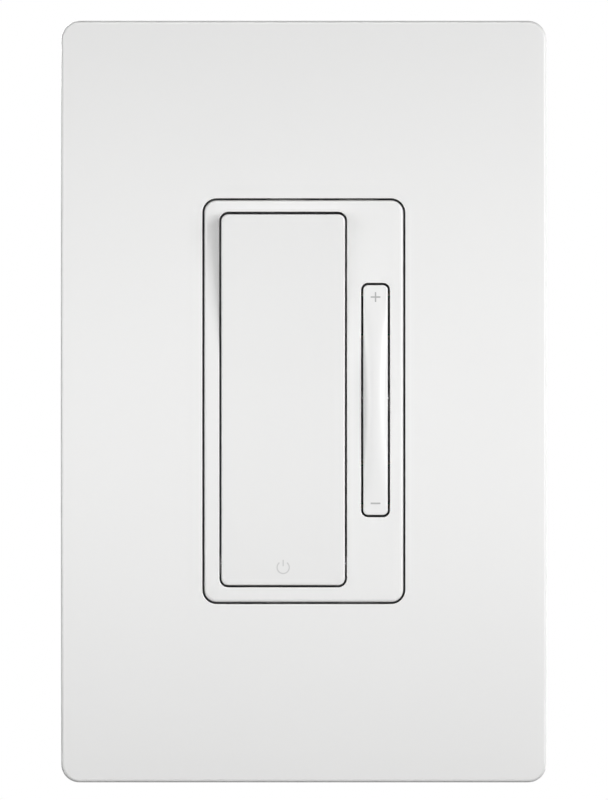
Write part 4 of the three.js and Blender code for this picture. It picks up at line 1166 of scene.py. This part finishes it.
PRINT_PROUD = 0.012 * MM
PRINT_SUNK = 0.05 * MM
BRIGHTER_Z = 17.2 * MM
DIMMER_Z = -16.75 * MM
ARM = 0.8 * MM  # half the length of the plus's and the minus's strokes
PLUS_STROKE = 0.23 * MM
MINUS_STROKE = 0.26 * MM
POWER_Z = -27.3 * MM
POWER_RADIUS = 1.0 * MM
POWER_STROKE = 0.2 * MM
POWER_GAP = 38  # degrees of opening on either side of the arc's top
POWER_STEPS = 32


def add_stroke(bm, points, width, front):
    """A closed thin ribbon of print along (x, z) points, lying on a curved face."""
    sections = []
    for i, (x, z) in enumerate(points):
        before, after = points[max(i - 1, 0)], points[min(i + 1, len(points) - 1)]
        along = Vector((after[0] - before[0], after[1] - before[1])).normalized()
        side = Vector((-along.y, along.x)) * width / 2
        ring = []
        proud, sunk = PRINT_PROUD, -PRINT_SUNK
        for sign, lift in ((1, proud), (-1, proud), (-1, sunk), (1, sunk)):
            px, pz = x + sign * side.x, z + sign * side.y
            ring.append(bm.verts.new((px, -front(px, pz) - lift, pz)))
        sections.append(ring)
    for near, far in zip(sections, sections[1:]):
        wall(bm, near, far)
    bm.faces.new(sections[0])
    bm.faces.new(sections[-1])


def straight(start, end, steps=6):
    ts = [i / steps for i in range(steps + 1)]
    return [(start[0] * (1 - t) + end[0] * t, start[1] * (1 - t) + end[1] * t) for t in ts]


def build_marks():
    x = (bar_low[0] + bar_high[0]) / 2
    bm = bmesh.new()
    plus_across = straight((x - ARM, BRIGHTER_Z), (x + ARM, BRIGHTER_Z))
    plus_up = straight((x, BRIGHTER_Z - ARM), (x, BRIGHTER_Z + ARM))
    add_stroke(bm, plus_across, PLUS_STROKE, bar_front)
    add_stroke(bm, plus_up, PLUS_STROKE, bar_front)
    add_stroke(bm, straight((x - ARM, DIMMER_Z), (x + ARM, DIMMER_Z)), MINUS_STROKE, bar_front)
    finish_mesh("bar_marks", bm, [LOOKS["print_grey"]], "dim_bar", smooth=False)
    bm = bmesh.new()
    x, z, radius = (paddle_low[0] + paddle_high[0]) / 2, POWER_Z, POWER_RADIUS
    arc = []
    for i in range(POWER_STEPS + 1):
        angle = math.radians(90 + POWER_GAP + (360 - 2 * POWER_GAP) * i / POWER_STEPS)
        arc.append((x + radius * math.cos(angle), z + radius * math.sin(angle)))
    add_stroke(bm, arc, POWER_STROKE, paddle_front)
    line = straight((x, z + 0.2 * MM), (x, z + radius * 1.25))
    add_stroke(bm, line, POWER_STROKE, paddle_front)
    finish_mesh("power_mark", bm, [LOOKS["print_pale"]], "paddle", smooth=False)


for build in (
    build_cover,
    build_cover_catches,
    build_frame,
    build_frame_inner,
    build_paddle,
    build_paddle_inner,
    build_bar,
    build_bar_inner,
    build_housing,
    build_screws,
    build_marks,
):
    build()

# ---------------------------------------------------------------- carried-over CAD nodes

smooth_group = smoothing_group()
slot_of = {part["node"]: part["material_slot"] for part in frame["record"]["subparts"]}
for node, item in frame["nodes"].items():
    if item.hide_render:
        continue
    for material_slot in item.material_slots:
        material_slot.material = LOOKS[slot_of[node]]
    item.modifiers.new("smooth_by_angle", "NODES").node_group = smooth_group
